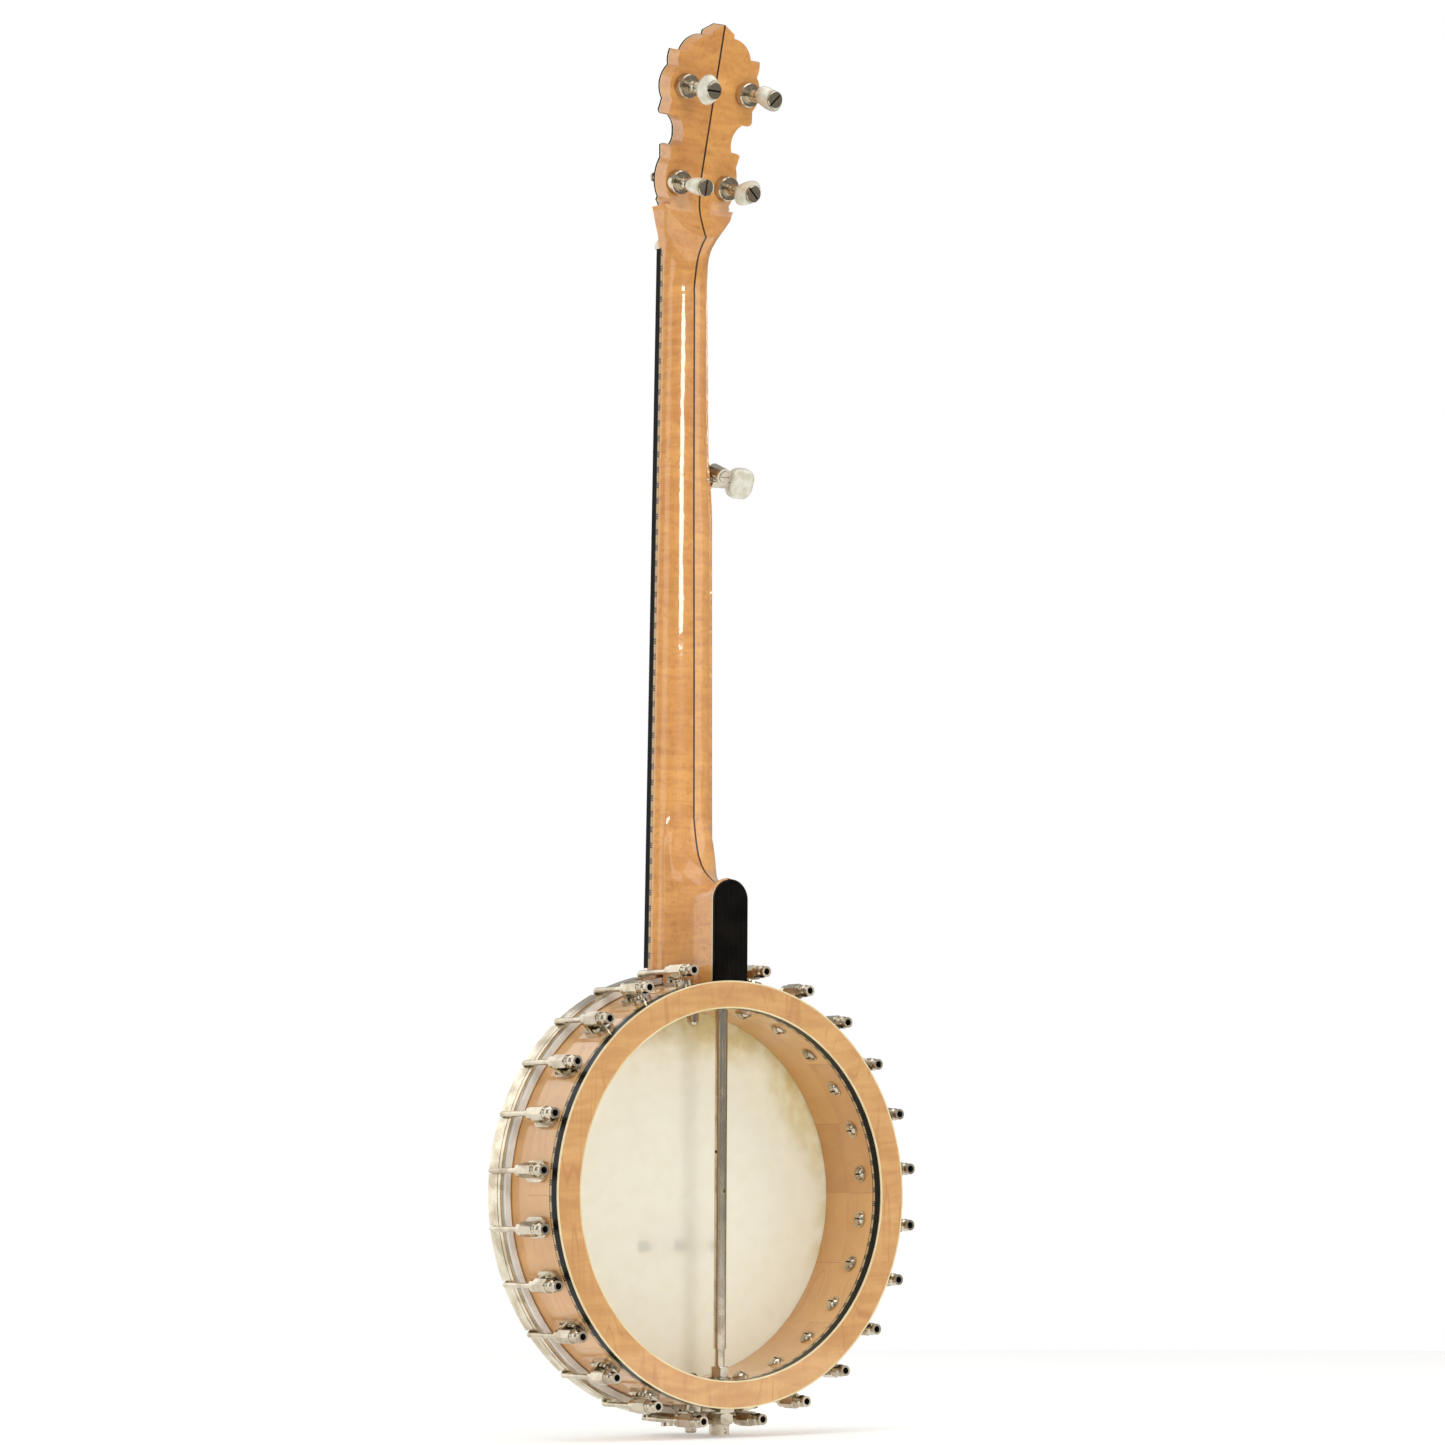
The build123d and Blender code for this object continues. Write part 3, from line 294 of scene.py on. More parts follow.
def make_block_group() -> bpy.types.NodeTree:
    """Turns pot coordinates into each rim block's own, so that its grain runs straight from joint to joint.

    Returns:
        The group, which puts out Vector, Tone and Joint.
    """
    made = GroupMaker("rim_block_axes", {"Vector": "Vector", "First Joint": "Float"},
                      {"Vector": "Vector", "Tone": "Float", "Joint": "Float"})
    s, given = made.sketch, made.given
    apart = s.node("ShaderNodeSeparateXYZ", {0: given["Vector"]}).outputs
    step = math.tau / COURSE_BLOCKS
    angle = s.maths("ARCTAN2", apart["Z"], apart["X"])
    place = s.maths("DIVIDE", s.maths("SUBTRACT", angle, given["First Joint"]), step)
    index = s.maths("FLOOR", place)
    middle = s.maths("MULTIPLY_ADD", s.maths("ADD", index, 0.5), step, given["First Joint"])
    cosine, sine = s.maths("COSINE", middle), s.maths("SINE", middle)
    out = s.maths("ADD", s.maths("MULTIPLY", apart["X"], cosine), s.maths("MULTIPLY", apart["Z"], sine))
    along = s.maths("SUBTRACT", s.maths("MULTIPLY", apart["Z"], cosine), s.maths("MULTIPLY", apart["X"], sine))
    out = s.maths("MULTIPLY_ADD", index, 0.31, out)
    vector = s.node("ShaderNodeCombineXYZ", {"X": out, "Y": apart["Y"], "Z": along}).outputs[0]
    tone = s.node("ShaderNodeTexWhiteNoise", {"W": s.maths("ADD", index, 5.5)}, noise_dimensions="1D").outputs[0]
    edge = s.maths("ABSOLUTE", s.maths("SUBTRACT", s.maths("SUBTRACT", place, index), 0.5))
    return made.finish(Vector=vector, Tone=tone, Joint=s.span(edge, 0.4965, 0.499))


def make_plate_group() -> bpy.types.NodeTree:
    """Worn metal plate: cloudy tarnish, fine pits and hairlines.

    Returns:
        The group, which puts out Color, Roughness and Height.
    """
    inputs = {"Vector": "Vector", "Bright": "Color", "Tarnish": "Color", "Wear": "Float", "Polish": "Float"}
    made = GroupMaker("plate_wear", inputs, {"Color": "Color", "Roughness": "Float", "Height": "Float"})
    s, given = made.sketch, made.given
    cloud = s.noise(given["Vector"], 70.0, 4.0, 0.4)
    grit = s.noise(given["Vector"], 900.0, 3.0)
    hair = s.noise(s.scaled(given["Vector"], (1.0, 0.05, 1.0)), 2400.0, 1.0)
    blend = s.maths("ADD", s.maths("MULTIPLY", cloud, 0.85), s.maths("MULTIPLY", grit, 0.15))
    mask = s.maths("MULTIPLY", s.span(blend, 0.42, 0.66), given["Wear"], clamp=True)
    colour = s.mix(mask, given["Bright"], given["Tarnish"])
    rough = s.maths("ADD", given["Polish"], s.maths("MULTIPLY", mask, 0.22))
    rough = s.maths("MULTIPLY_ADD", s.maths("SUBTRACT", hair, 0.5), 0.08, rough)
    height = s.maths("ADD", s.maths("MULTIPLY", grit, 0.7), s.maths("MULTIPLY", hair, 0.3))
    return made.finish(Color=colour, Roughness=rough, Height=height)


def make_polish_group() -> bpy.types.NodeTree:
    """A rubbed gloss: cloudy roughness, hairlines and dust-fine unevenness over a colour that drifts a little.

    Returns:
        The group, which puts out Color, Roughness and Height.
    """
    inputs = {"Vector": "Vector", "Low": "Color", "High": "Color", "Grain": "Float", "Polish": "Float"}
    made = GroupMaker("rubbed_polish", inputs, {"Color": "Color", "Roughness": "Float", "Height": "Float"})
    s, given = made.sketch, made.given
    long_grain = s.noise(s.scaled(given["Vector"], (1.0, 1.0, 0.03)), 1300.0, 2.0)
    cloud = s.noise(given["Vector"], 55.0, 3.0)
    grain = s.maths("MULTIPLY", s.maths("SUBTRACT", long_grain, 0.5), given["Grain"])
    share = s.maths("ADD", s.span(cloud, 0.3, 0.7), grain, clamp=True)
    rough = s.maths("MULTIPLY_ADD", cloud, 0.12, given["Polish"])
    rough = s.maths("MULTIPLY_ADD", grain, 0.15, rough)
    return made.finish(Color=s.mix(share, given["Low"], given["High"]), Roughness=rough, Height=long_grain)


def make_marquetry_group() -> bpy.types.NodeTree:
    """A strip of long light bars parted by three short dark ticks, between thin dark borders.

    Returns:
        The group, which puts out Color and the Dark Part, a mask of the ticks and borders.
    """
    inputs = {"Vector": "Vector", "Along": "Float", "Across": "Float", "Light": "Color", "Dark": "Color"}
    made = GroupMaker("marquetry_bars", inputs, {"Color": "Color", "Dark Part": "Float"})
    s, given = made.sketch, made.given
    share = s.maths("FRACT", given["Along"])
    in_ticks = s.maths("GREATER_THAN", share, 0.6)
    tick = s.maths("FRACT", s.maths("DIVIDE", s.maths("SUBTRACT", share, 0.6), 0.4 / 3))
    tick_dark = s.maths("MULTIPLY", in_ticks, s.maths("LESS_THAN", tick, 0.55))
    side = s.maths("ABSOLUTE", given["Across"])
    border = s.maths("GREATER_THAN", side, s.maths("MULTIPLY_ADD", in_ticks, -0.22, 0.62))
    dark = s.maths("MAXIMUM", tick_dark, border)
    grain = s.noise(given["Vector"], 1800.0, 2.0)
    light = s.mix(s.span(grain, 0.3, 0.7, 0.0, 0.35), given["Light"], given["Dark"])
    return made.finish(Color=s.mix(dark, light, given["Dark"]), **{"Dark Part": dark})


class Groups:
    """The shared node groups, each made once."""

    maple = make_maple_group()
    blocks = make_block_group()
    plate = make_plate_group()
    polish = make_polish_group()
    marquetry = make_marquetry_group()


def new_material(name: str) -> tuple[bpy.types.Material, Sketch, bpy.types.Node]:
    """An empty material with its shader joined up.

    Args:
        name: The material's name.

    Returns:
        The material, the sketch of its nodes, and its Principled BSDF.
    """
    material = bpy.data.materials.new(name)
    material.use_nodes = True
    material.node_tree.nodes.clear()
    sketch = Sketch(material.node_tree)
    shader = sketch.node("ShaderNodeBsdfPrincipled")
    sketch.node("ShaderNodeOutputMaterial", {"Surface": shader.outputs[0]})
    return material, sketch, shader


def dress(sketch: Sketch, shader: bpy.types.Node, colour: Socket, rough: Socket, height: Socket,
          depth: float, **plain: Value) -> None:
    """Joins a finish to its shader.

    Args:
        sketch: The material's nodes.
        shader: The Principled BSDF.
        colour: The base colour.
        rough: The roughness.
        height: The height of the surface's relief.
        depth: How deep that relief is, in metres.
        **plain: Values for the shader's own sockets, with _ for a space.
    """
    bump = sketch.node("ShaderNodeBump", {"Strength": 1.0, "Distance": depth, "Height": height})
    sketch.feed(shader.inputs["Base Color"], colour)
    sketch.feed(shader.inputs["Roughness"], rough)
    sketch.feed(shader.inputs["Normal"], bump.outputs[0])
    for name, value in plain.items():
        sketch.feed(shader.inputs[name.replace("_", " ")], value)


# ---- finishes ----

class Grain(Enum):
    """Which way a piece of maple was cut."""

    ALONG_NECK = "along_neck"
    DOWN_CAP = "down_cap"
    FRONT_BLOCKS = "front_blocks"
    BACK_BLOCKS = "back_blocks"
    ACROSS = "across"


@dataclass(frozen=True)
class Maple:
    """Lacquered or bare maple."""

    name: str
    grain: Grain
    light: Colour
    mid: Colour
    dark: Colour
    line: Colour = (0.5, 0.22, 0.09)
    rings: float = 0.4
    curl: float = 0.4
    eyes: float = 0.0
    fleck: float = 0.4
    seed: float = 0.0
    coat: float = 1.0

    def build(self) -> bpy.types.Material:
        """The finish as a material."""
        material, s, shader = new_material(self.name)
        tone: Value = 0.5
        place = NECK if self.grain is Grain.ALONG_NECK else POT
        vector = s.local(place)
        joint = None
        if self.grain in (Grain.FRONT_BLOCKS, Grain.BACK_BLOCKS):
            first = math.radians(22.5) if self.grain is Grain.FRONT_BLOCKS else 0.0
            blocks = s.group(Groups.blocks, {"Vector": vector, "First Joint": first}).outputs
            vector, tone, joint = blocks["Vector"], blocks["Tone"], blocks["Joint"]
        elif self.grain is Grain.ACROSS:
            turned = {"Vector": vector, "Rotation": (0.0, math.pi / 2, 0.0)}
            vector = s.node("ShaderNodeMapping", turned).outputs[0]
        inputs = {
            "Vector": vector, "Light": self.light, "Mid": self.mid, "Dark": self.dark, "Line": self.line,
            "Rings": self.rings, "Curl": self.curl, "Eyes": self.eyes, "Fleck": self.fleck, "Tone": tone,
            "Seed": self.seed,
        }
        figure = s.group(Groups.maple, inputs).outputs
        colour = figure["Color"]
        if joint is not None:
            colour = s.mix(s.maths("MULTIPLY", joint, 0.6), colour, self.dark)
        dress(s, shader, colour, figure["Roughness"], figure["Height"], 0.02 * MM,
              Coat_Weight=self.coat, Coat_Roughness=0.04, Coat_IOR=1.5)
        return material


@dataclass(frozen=True)
class Plate:
    """Plated or bare metal."""

    name: str
    bright: Colour
    tarnish: Colour
    wear: float
    polish: float

    def build(self) -> bpy.types.Material:
        """The finish as a material."""
        material, s, shader = new_material(self.name)
        inputs = {"Vector": s.local(POT), "Bright": self.bright, "Tarnish": self.tarnish,
                  "Wear": self.wear, "Polish": self.polish}
        plate = s.group(Groups.plate, inputs).outputs
        dress(s, shader, plate["Color"], plate["Roughness"], plate["Height"], 0.008 * MM, Metallic=1.0)
        return material


@dataclass(frozen=True)
class Polish:
    """A dense material rubbed to a gloss, such as ebony, bone or black binding."""

    name: str
    low: Colour
    high: Colour
    grain: float
    polish: float
    coat: float = 0.0
    shine: float = 0.5
    depth: float = 0.008 * MM

    def build(self) -> bpy.types.Material:
        """The finish as a material."""
        material, s, shader = new_material(self.name)
        inputs = {"Vector": s.local(NECK), "Low": self.low, "High": self.high,
                  "Grain": self.grain, "Polish": self.polish}
        skin = s.group(Groups.polish, inputs).outputs
        dress(s, shader, skin["Color"], skin["Roughness"], skin["Height"], self.depth,
              Coat_Weight=self.coat, Coat_Roughness=0.05, Specular_IOR_Level=self.shine)
        return material


class Strip(Enum):
    """Where a marquetry strip runs."""

    ROUND_RIM = "round_rim"
    ALONG_BOARD = "along_board"


@dataclass(frozen=True)
class Marquetry:
    """Light and dark wood bars under lacquer."""

    name: str
    run: Strip
    middle: float
    half_width: float
    light: Colour = (0.66, 0.45, 0.2)
    dark: Colour = (0.012, 0.01, 0.009)

    def build(self) -> bpy.types.Material:
        """The finish as a material."""
        material, s, shader = new_material(self.name)
        round_rim = self.run is Strip.ROUND_RIM
        vector = s.local(POT if round_rim else NECK)
        apart = s.node("ShaderNodeSeparateXYZ", {0: vector}).outputs
        if round_rim:
            angle = s.maths("ARCTAN2", apart["Z"], apart["X"])
            along = s.maths("MULTIPLY", angle, RIM_BARS / math.tau)
        else:
            along = s.maths("DIVIDE", apart["Z"], BAR_PITCH)
        across = s.maths("DIVIDE", s.maths("SUBTRACT", apart["Y"], self.middle), self.half_width)
        inputs = {"Vector": vector, "Along": along, "Across": across, "Light": self.light, "Dark": self.dark}
        bars = s.group(Groups.marquetry, inputs).outputs
        gloss = s.group(Groups.polish, {"Vector": vector, "Low": self.light, "High": self.dark,
                                        "Grain": 0.5, "Polish": 0.3}).outputs
        height = s.maths("MULTIPLY_ADD", bars["Dark Part"], -0.5, gloss["Height"])
        dress(s, shader, bars["Color"], gloss["Roughness"], height, 0.01 * MM,
              Coat_Weight=0.35, Coat_Roughness=0.05, Specular_IOR_Level=0.25)
        return material


@dataclass(frozen=True)
class Skin:
    """The head: cream and slightly see-through, clouded, and ambered towards its edge."""

    name: str
    cream: Colour
    cloud: Colour
    amber: Colour

    def build(self) -> bpy.types.Material:
        """The finish as a material."""
        material, s, shader = new_material(self.name)
        vector = s.local(POT)
        apart = s.node("ShaderNodeSeparateXYZ", {0: vector}).outputs
        flat = s.node("ShaderNodeCombineXYZ", {"X": apart["X"], "Y": 0.0, "Z": apart["Z"]}).outputs[0]
        radius = s.node("ShaderNodeVectorMath", {0: flat}, operation="LENGTH").outputs["Value"]
        wide = s.noise(vector, 17.0, 5.0, 0.6)
        fine = s.noise(vector, 95.0, 4.0, 0.3)
        pores = s.noise(vector, 1500.0, 2.0)
        reach = s.maths("MULTIPLY_ADD", s.maths("SUBTRACT", wide, 0.5), 0.075, radius)
        reach = s.maths("MULTIPLY_ADD", apart["Z"], 0.14, reach)
        edge = s.span(reach, 0.098, 0.14)
        edge = s.maths("MULTIPLY", edge, s.span(fine, 0.25, 0.65, 0.55, 1.0))
        colour = s.mix(s.span(fine, 0.35, 0.7, 0.0, 0.6), self.cream, self.cloud)
        colour = s.mix(edge, colour, self.amber)
        rough = s.span(fine, 0.3, 0.7, 0.42, 0.58)
        height = s.maths("ADD", pores, s.maths("MULTIPLY", fine, 2.0))
        dress(s, shader, colour, rough, height, 0.02 * MM, Subsurface_Weight=0.4,
              Subsurface_Radius=(1.0, 0.85, 0.6), Subsurface_Scale=0.004)
        return material


@dataclass(frozen=True)
class Pearl:
    """Swirled pearloid or cut shell."""

    name: str
    cream: Colour
    bright: Colour
    scale: float
    depth: float = 0.004 * MM

    def build(self) -> bpy.types.Material:
        """The finish as a material."""
        material, s, shader = new_material(self.name)
        vector = s.local(POT)
        drift = {"Vector": vector, "Scale": self.scale * 0.7, "Detail": 2.0}
        bend = s.node("ShaderNodeTexNoise", drift).outputs["Color"]
        bend = s.scaled(bend, (0.006, 0.006, 0.006))
        bent = s.node("ShaderNodeVectorMath", {0: vector, 1: bend}, operation="ADD").outputs[0]
        cells = s.node("ShaderNodeTexVoronoi", {"Vector": bent, "Scale": self.scale, "Randomness": 1.0},
                       feature="SMOOTH_F1").outputs["Distance"]
        swirl = s.noise(bent, self.scale * 1.6, 3.0, 1.4)
        share = s.maths("ADD", s.span(cells, 0.1, 0.75), s.maths("SUBTRACT", swirl, 0.5), clamp=True)
        colour = s.mix(share, self.cream, self.bright)
        rough = s.span(swirl, 0.3, 0.7, 0.12, 0.24)
        dress(s, shader, colour, rough, s.noise(vector, 700.0, 2.0), self.depth, Subsurface_Weight=0.3,
              Subsurface_Radius=(1.0, 0.9, 0.7), Subsurface_Scale=0.003, Coat_Weight=0.6, Coat_Roughness=0.04)
        return material


NICKEL_BRIGHT: Colour = (0.6, 0.54, 0.43)
NICKEL_TARNISH: Colour = (0.27, 0.2, 0.12)

FINISHES = [
    Maple("maple_front_blocks", Grain.FRONT_BLOCKS, (0.71, 0.38, 0.125), (0.58, 0.28, 0.08), (0.36, 0.14, 0.035),
          line=(0.46, 0.18, 0.05), rings=0.5, curl=0.2, fleck=0.35, seed=1.7),
    Maple("maple_back_blocks", Grain.BACK_BLOCKS, (0.72, 0.39, 0.13), (0.6, 0.29, 0.083), (0.36, 0.14, 0.035),
          line=(0.46, 0.18, 0.05), rings=0.5, curl=0.2, fleck=0.35, seed=4.1),
    Maple("maple_cap", Grain.DOWN_CAP, (0.68, 0.375, 0.135), (0.54, 0.26, 0.083), (0.4, 0.155, 0.047),
          line=(0.45, 0.175, 0.06), rings=0.85, curl=0.6, fleck=0.4, seed=2.3),
    Maple("maple_neck_treble", Grain.ALONG_NECK, (0.76, 0.36, 0.09), (0.6, 0.25, 0.06), (0.38, 0.13, 0.03),
          rings=0.1, curl=0.7, eyes=0.75, fleck=0.4, seed=3.2),
    # bass half: a little lighter than the treble half as painted sheen; its eyes, flecks and seed are its own
    # figure
    Maple("maple_neck_bass", Grain.ALONG_NECK, (0.8, 0.39, 0.1), (0.64, 0.275, 0.066), (0.42, 0.15, 0.036),
          rings=0.1, curl=0.7, eyes=0.6, fleck=0.55, seed=6.4),
    Maple("maple_bridge", Grain.ACROSS, (0.6, 0.36, 0.16), (0.5, 0.28, 0.11), (0.3, 0.15, 0.06),
          rings=0.5, curl=0.1, fleck=0.8, seed=8.8, coat=0.0),
    Polish("dark_strip", (0.02, 0.012, 0.008), (0.045, 0.026, 0.016), 1.0, 0.3, coat=0.4, shine=0.3),
    Polish("ebony", (0.0018, 0.0015, 0.0011), (0.0065, 0.005, 0.0036), 1.3, 0.2, shine=0.05, depth=0.012 * MM),
    Polish("black_band", (0.0045, 0.0043, 0.004), (0.007, 0.0066, 0.006), 0.4, 0.12, shine=0.12),
    Polish("cream_line", (0.7, 0.56, 0.3), (0.8, 0.69, 0.43), 0.5, 0.25, coat=0.6),
    Polish("bone", (0.74, 0.67, 0.5), (0.86, 0.81, 0.67), 0.9, 0.28, coat=0.2),
    # painted shade for the insides of the hook nuts' bores and the screw slots
    Polish("bore_shadow", (0.002, 0.0018, 0.0015), (0.005, 0.0045, 0.004), 0.4, 0.5, shine=0.1),
    Marquetry("marquetry_rim", Strip.ROUND_RIM, -8.0 * MM, 1.5 * MM),
    Marquetry("marquetry_board", Strip.ALONG_BOARD, 6.3 * MM, 1.7 * MM),
    Plate("nickel", NICKEL_BRIGHT, NICKEL_TARNISH, 0.55, 0.15),
    Plate("hoop_plate", (0.7, 0.64, 0.51), (0.42, 0.34, 0.22), 0.7, 0.18),
    # the flesh hoop's pale, near-white colour is a painted highlight for the bright band it shows
    Polish("flesh_hoop_painted_highlight", (0.74, 0.72, 0.66), (0.86, 0.84, 0.79), 0.3, 0.28),
    Plate("nickel_worn", (0.78, 0.73, 0.62), (0.5, 0.42, 0.29), 0.7, 0.16),
    Plate("brass", (0.72, 0.5, 0.22), (0.4, 0.23, 0.08), 0.6, 0.22),
    Plate("steel", (0.44, 0.42, 0.39), (0.27, 0.23, 0.19), 0.6, 0.26),
    Plate("string_wire", (0.7, 0.67, 0.62), (0.45, 0.4, 0.32), 0.5, 0.16),
    Skin("head_skin", (0.87, 0.845, 0.68), (0.83, 0.795, 0.61), (0.58, 0.46, 0.23)),
    Pearl("pearloid", (0.62, 0.59, 0.45), (0.78, 0.765, 0.67), 210.0),
    Pearl("inlaid_pearl", (0.7, 0.72, 0.66), (0.92, 0.93, 0.9), 420.0),
]

SLOT_FINISH = {
    "maple_pot": "maple_front_blocks", "maple_cap": "maple_cap", "maple_neck": "maple_neck_treble",
    "dark_strip": "dark_strip", "ebony": "ebony", "black_band": "black_band", "marquetry": "marquetry_rim",
    "cream_line": "cream_line", "nickel": "nickel", "nickel_satin": "nickel_worn", "brass": "brass",
    "steel": "steel", "skin": "head_skin", "pearloid": "pearloid", "pearl": "inlaid_pearl", "bone": "bone",
    "bridge_maple": "maple_bridge", "string_steel": "string_wire",
}
NODE_FINISH = {
    "rim_back_course": "maple_back_blocks", "neck_bass_half": "maple_neck_bass",
    "fingerboard_purfling": "marquetry_board", "tension_hoop": "hoop_plate", "flesh_hoop": "flesh_hoop_painted_highlight",
}


class Wardrobe:
    """Every finish as a material, and the way CAD nodes and new pieces are dressed in them."""

    def __init__(self) -> None:
        """Builds each finish once."""
        self.materials = {finish.name: finish.build() for finish in FINISHES}

    def wear(self, piece: bpy.types.Object, finish: str) -> None:
        """Gives a piece one finish all over.

        Args:
            piece: The piece.
            finish: The finish's name.
        """
        piece.data.materials.clear()
        piece.data.materials.append(self.materials[finish])

    def dress_frame(self) -> None:
        """Dresses every CAD node by its material slot, or by its own name where it has its own finish."""
        for row in frame["record"]["subparts"]:
            node, slot_painted_shade = row["node"], row["material_slot"]
            finish = NODE_FINISH.get(node, SLOT_FINISH[slot_painted_shade])
            self.wear(frame["nodes"][node], finish)
            log.info("%s wears %s", node, finish)


# ---- fine pieces ----

def keep_piece(mesh: bmesh.types.BMesh, name: str, place: Matrix, body: str) -> bpy.types.Object:
    """Turns a finished bmesh into a piece that rides on a body.

    Args:
        mesh: The shape, in its own axes; it is freed here.
        name: The piece's name.
        place: Where those axes stand.
        body: The CAD body that it rides on.

    Returns:
        The piece.
    """
    bmesh.ops.transform(mesh, matrix=place, verts=mesh.verts)
    bmesh.ops.recalc_face_normals(mesh, faces=mesh.faces)
    data = bpy.data.meshes.new(name)
    mesh.to_mesh(data)
    mesh.free()
    data.shade_smooth()
    piece = bpy.data.objects.new(name, data)
    bpy.context.scene.collection.objects.link(piece)
    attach(piece, body)
    return piece


def join(whole: bmesh.types.BMesh, part: bmesh.types.BMesh) -> None:
    """Adds a shape to a larger one.

    Args:
        whole: The larger shape.
        part: The shape that is added; it is freed here.
    """
    carrier = bpy.data.meshes.new("carrier")
    part.to_mesh(carrier)
    part.free()
    whole.from_mesh(carrier)
    bpy.data.meshes.remove(carrier)


def wire_piece(points: list[Vector], radius: float, name: str, body: str,
               closed: bool = False) -> bpy.types.Object:
    """A round wire along a smooth line.

    Args:
        points: The line's control points, in the row frame.
        radius: The wire's radius.
        name: The piece's name.
        body: The CAD body that it rides on.
        closed: Whether the wire's end meets its start.

    Returns:
        The piece.
    """
    curve = bpy.data.curves.new(name, "CURVE")
    curve.dimensions = "3D"
    spline = curve.splines.new("NURBS")
    spline.points.add(len(points) - 1)
    for point, place in zip(spline.points, points):
        point.co = (*place, 1.0)
    spline.order_u = 3
    spline.use_endpoint_u = not closed
    spline.use_cyclic_u = closed
    spline.resolution_u = 4
    curve.bevel_depth = radius
    curve.bevel_resolution = 2
    curve.use_fill_caps = True
    draft = bpy.data.objects.new(name, curve)
    bpy.context.scene.collection.objects.link(draft)
    data = bpy.data.meshes.new_from_object(draft.evaluated_get(bpy.context.evaluated_depsgraph_get()))
    bpy.data.objects.remove(draft)
    bpy.data.curves.remove(curve)
    data.name = name
    data.shade_smooth()
    piece = bpy.data.objects.new(name, data)
    bpy.context.scene.collection.objects.link(piece)
    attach(piece, body)
    return piece


@dataclass
class Winding:
    """The turns of one string on its post."""

    name: str
    body: str
    place: Matrix              # z along the post, out of the peghead's back
    from_angle: float
    way: int                   # 1 counter-clockwise, -1 clockwise, seen from the back
    heights: tuple[float, float]
    post_radius: float
    waist_radius: float
    wire: float
    turns: float = 4.0

    def points(self) -> list[Vector]:
        """The turns' control points, closing in from the post's full size to its waist."""
        steps = int(self.turns * 14)
        found = []
        for step in range(steps + 1):
            share = step / steps
            angle = self.from_angle + self.way * share * self.turns * math.tau
            ease = min(1.0, share * self.turns / 0.8)
            bare = self.post_radius + (self.waist_radius - self.post_radius) * ease
            radius = bare + self.wire + 0.03 * MM
            low, high = self.heights
            height = low + (high - low) * share
            found.append(self.place @ Vector((radius * math.cos(angle), radius * math.sin(angle), height)))
        return found

    def build(self, wardrobe: Wardrobe) -> None:
        """Makes the turns and dresses them."""
        piece = wire_piece(self.points(), self.wire, self.name, self.body)
        wardrobe.wear(piece, "string_wire")
        log.info("%s wound on %s", self.name, self.body)


@dataclass
class Tuners:
    """The ribs on each tuner's stem and the string turns on its post."""

    rib_pitch: float = 0.62 * MM
    rib_depth: float = 0.3 * MM

    def place(self, x: float, up: float) -> Matrix:
        """A tuner's own axes: z out of the peghead's back.

        Args:
            x: Its distance from the peghead's middle.
            up: Its height along the peghead.

        Returns:
            The axes as a transform.
        """
        return PEGHEAD.matrix() @ Matrix.Translation((x, 0.0, up)) @ Matrix.Rotation(-math.pi / 2, 4, "X")

    def ribbed_sleeve(self, radius: float, low: float, high: float) -> bmesh.types.BMesh:
        """A ribbed sleeve round the z axis.

        Args:
            radius: The radius in its grooves.
            low: Where it starts.
            high: Where it ends.

        Returns:
            The sleeve's shape.
        """
        mesh = bmesh.new()
        count = max(2, round((high - low) / self.rib_pitch))
        pitch = (high - low) / count
        profile = [mesh.verts.new((radius - 0.3 * MM, 0.0, low))]
        for k in range(count):
            for part, out in ((0.0, 0.0), (0.3, 1.0), (0.7, 1.0)):
                profile.append(mesh.verts.new((radius + self.rib_depth * out, 0.0, low + (k + part) * pitch)))
        profile.append(mesh.verts.new((radius, 0.0, high)))
        profile.append(mesh.verts.new((radius - 0.3 * MM, 0.0, high)))
        edges = [mesh.edges.new(pair) for pair in zip(profile, profile[1:] + profile[:1])]
        bmesh.ops.spin(mesh, geom=profile + edges, cent=(0, 0, 0), axis=(0, 0, 1), dvec=(0, 0, 0),
                       angle=math.tau, steps=48, use_merge=True, use_duplicate=False)
        bmesh.ops.remove_doubles(mesh, verts=mesh.verts, dist=1e-7)
        return mesh

    def build(self, wardrobe: Wardrobe) -> None:
        """Makes the ribs and the turns of every tuner."""
        wires = {1: 0.15, 2: 0.16, 3: 0.2, 4: 0.3}
        for number, (x, up, _) in TUNER_SPOTS.items():
            wire = wires[number]
            place = self.place(x * MM, up * MM)
            for part, (radius, low, high) in enumerate(((3.72, 10.6, 13.3), (3.32, 15.1, 18.3))):
                sleeve = self.ribbed_sleeve(radius * MM, low * MM, high * MM)
                piece = keep_piece(sleeve, f"tuner_{number}_ribs_{part}", place, f"peg_{number}_button")
                wardrobe.wear(piece, "nickel")
            start = math.pi if x > 0 else 0.0
            end = -21.6 - 8 * wire
            Winding(f"string_{number}_turns", f"peg_{number}_post", place, start, 1 if x > 0 else -1,
                    (-20.2 * MM, end * MM), 3.6 * MM, 2.72 * MM, wire * MM).build(wardrobe)


@dataclass
class FifthString:
    """The fifth string's turns on its own post."""

    wire: float = 0.15 * MM

    def build(self, wardrobe: Wardrobe) -> None:
        """Makes the turns."""
        post = Matrix.Translation((-7.0 * MM, 0.0, 5.0 * MM)) @ Matrix.Rotation(-math.pi / 2, 4, "X")
        place = FIFTH.matrix() @ post
        Winding("string_5_turns", "fifth_peg_post_body", place, 0.0, -1, (-15.5 * MM, -17.3 * MM),
                2.9 * MM, 2.52 * MM, self.wire, turns=3.0).build(wardrobe)


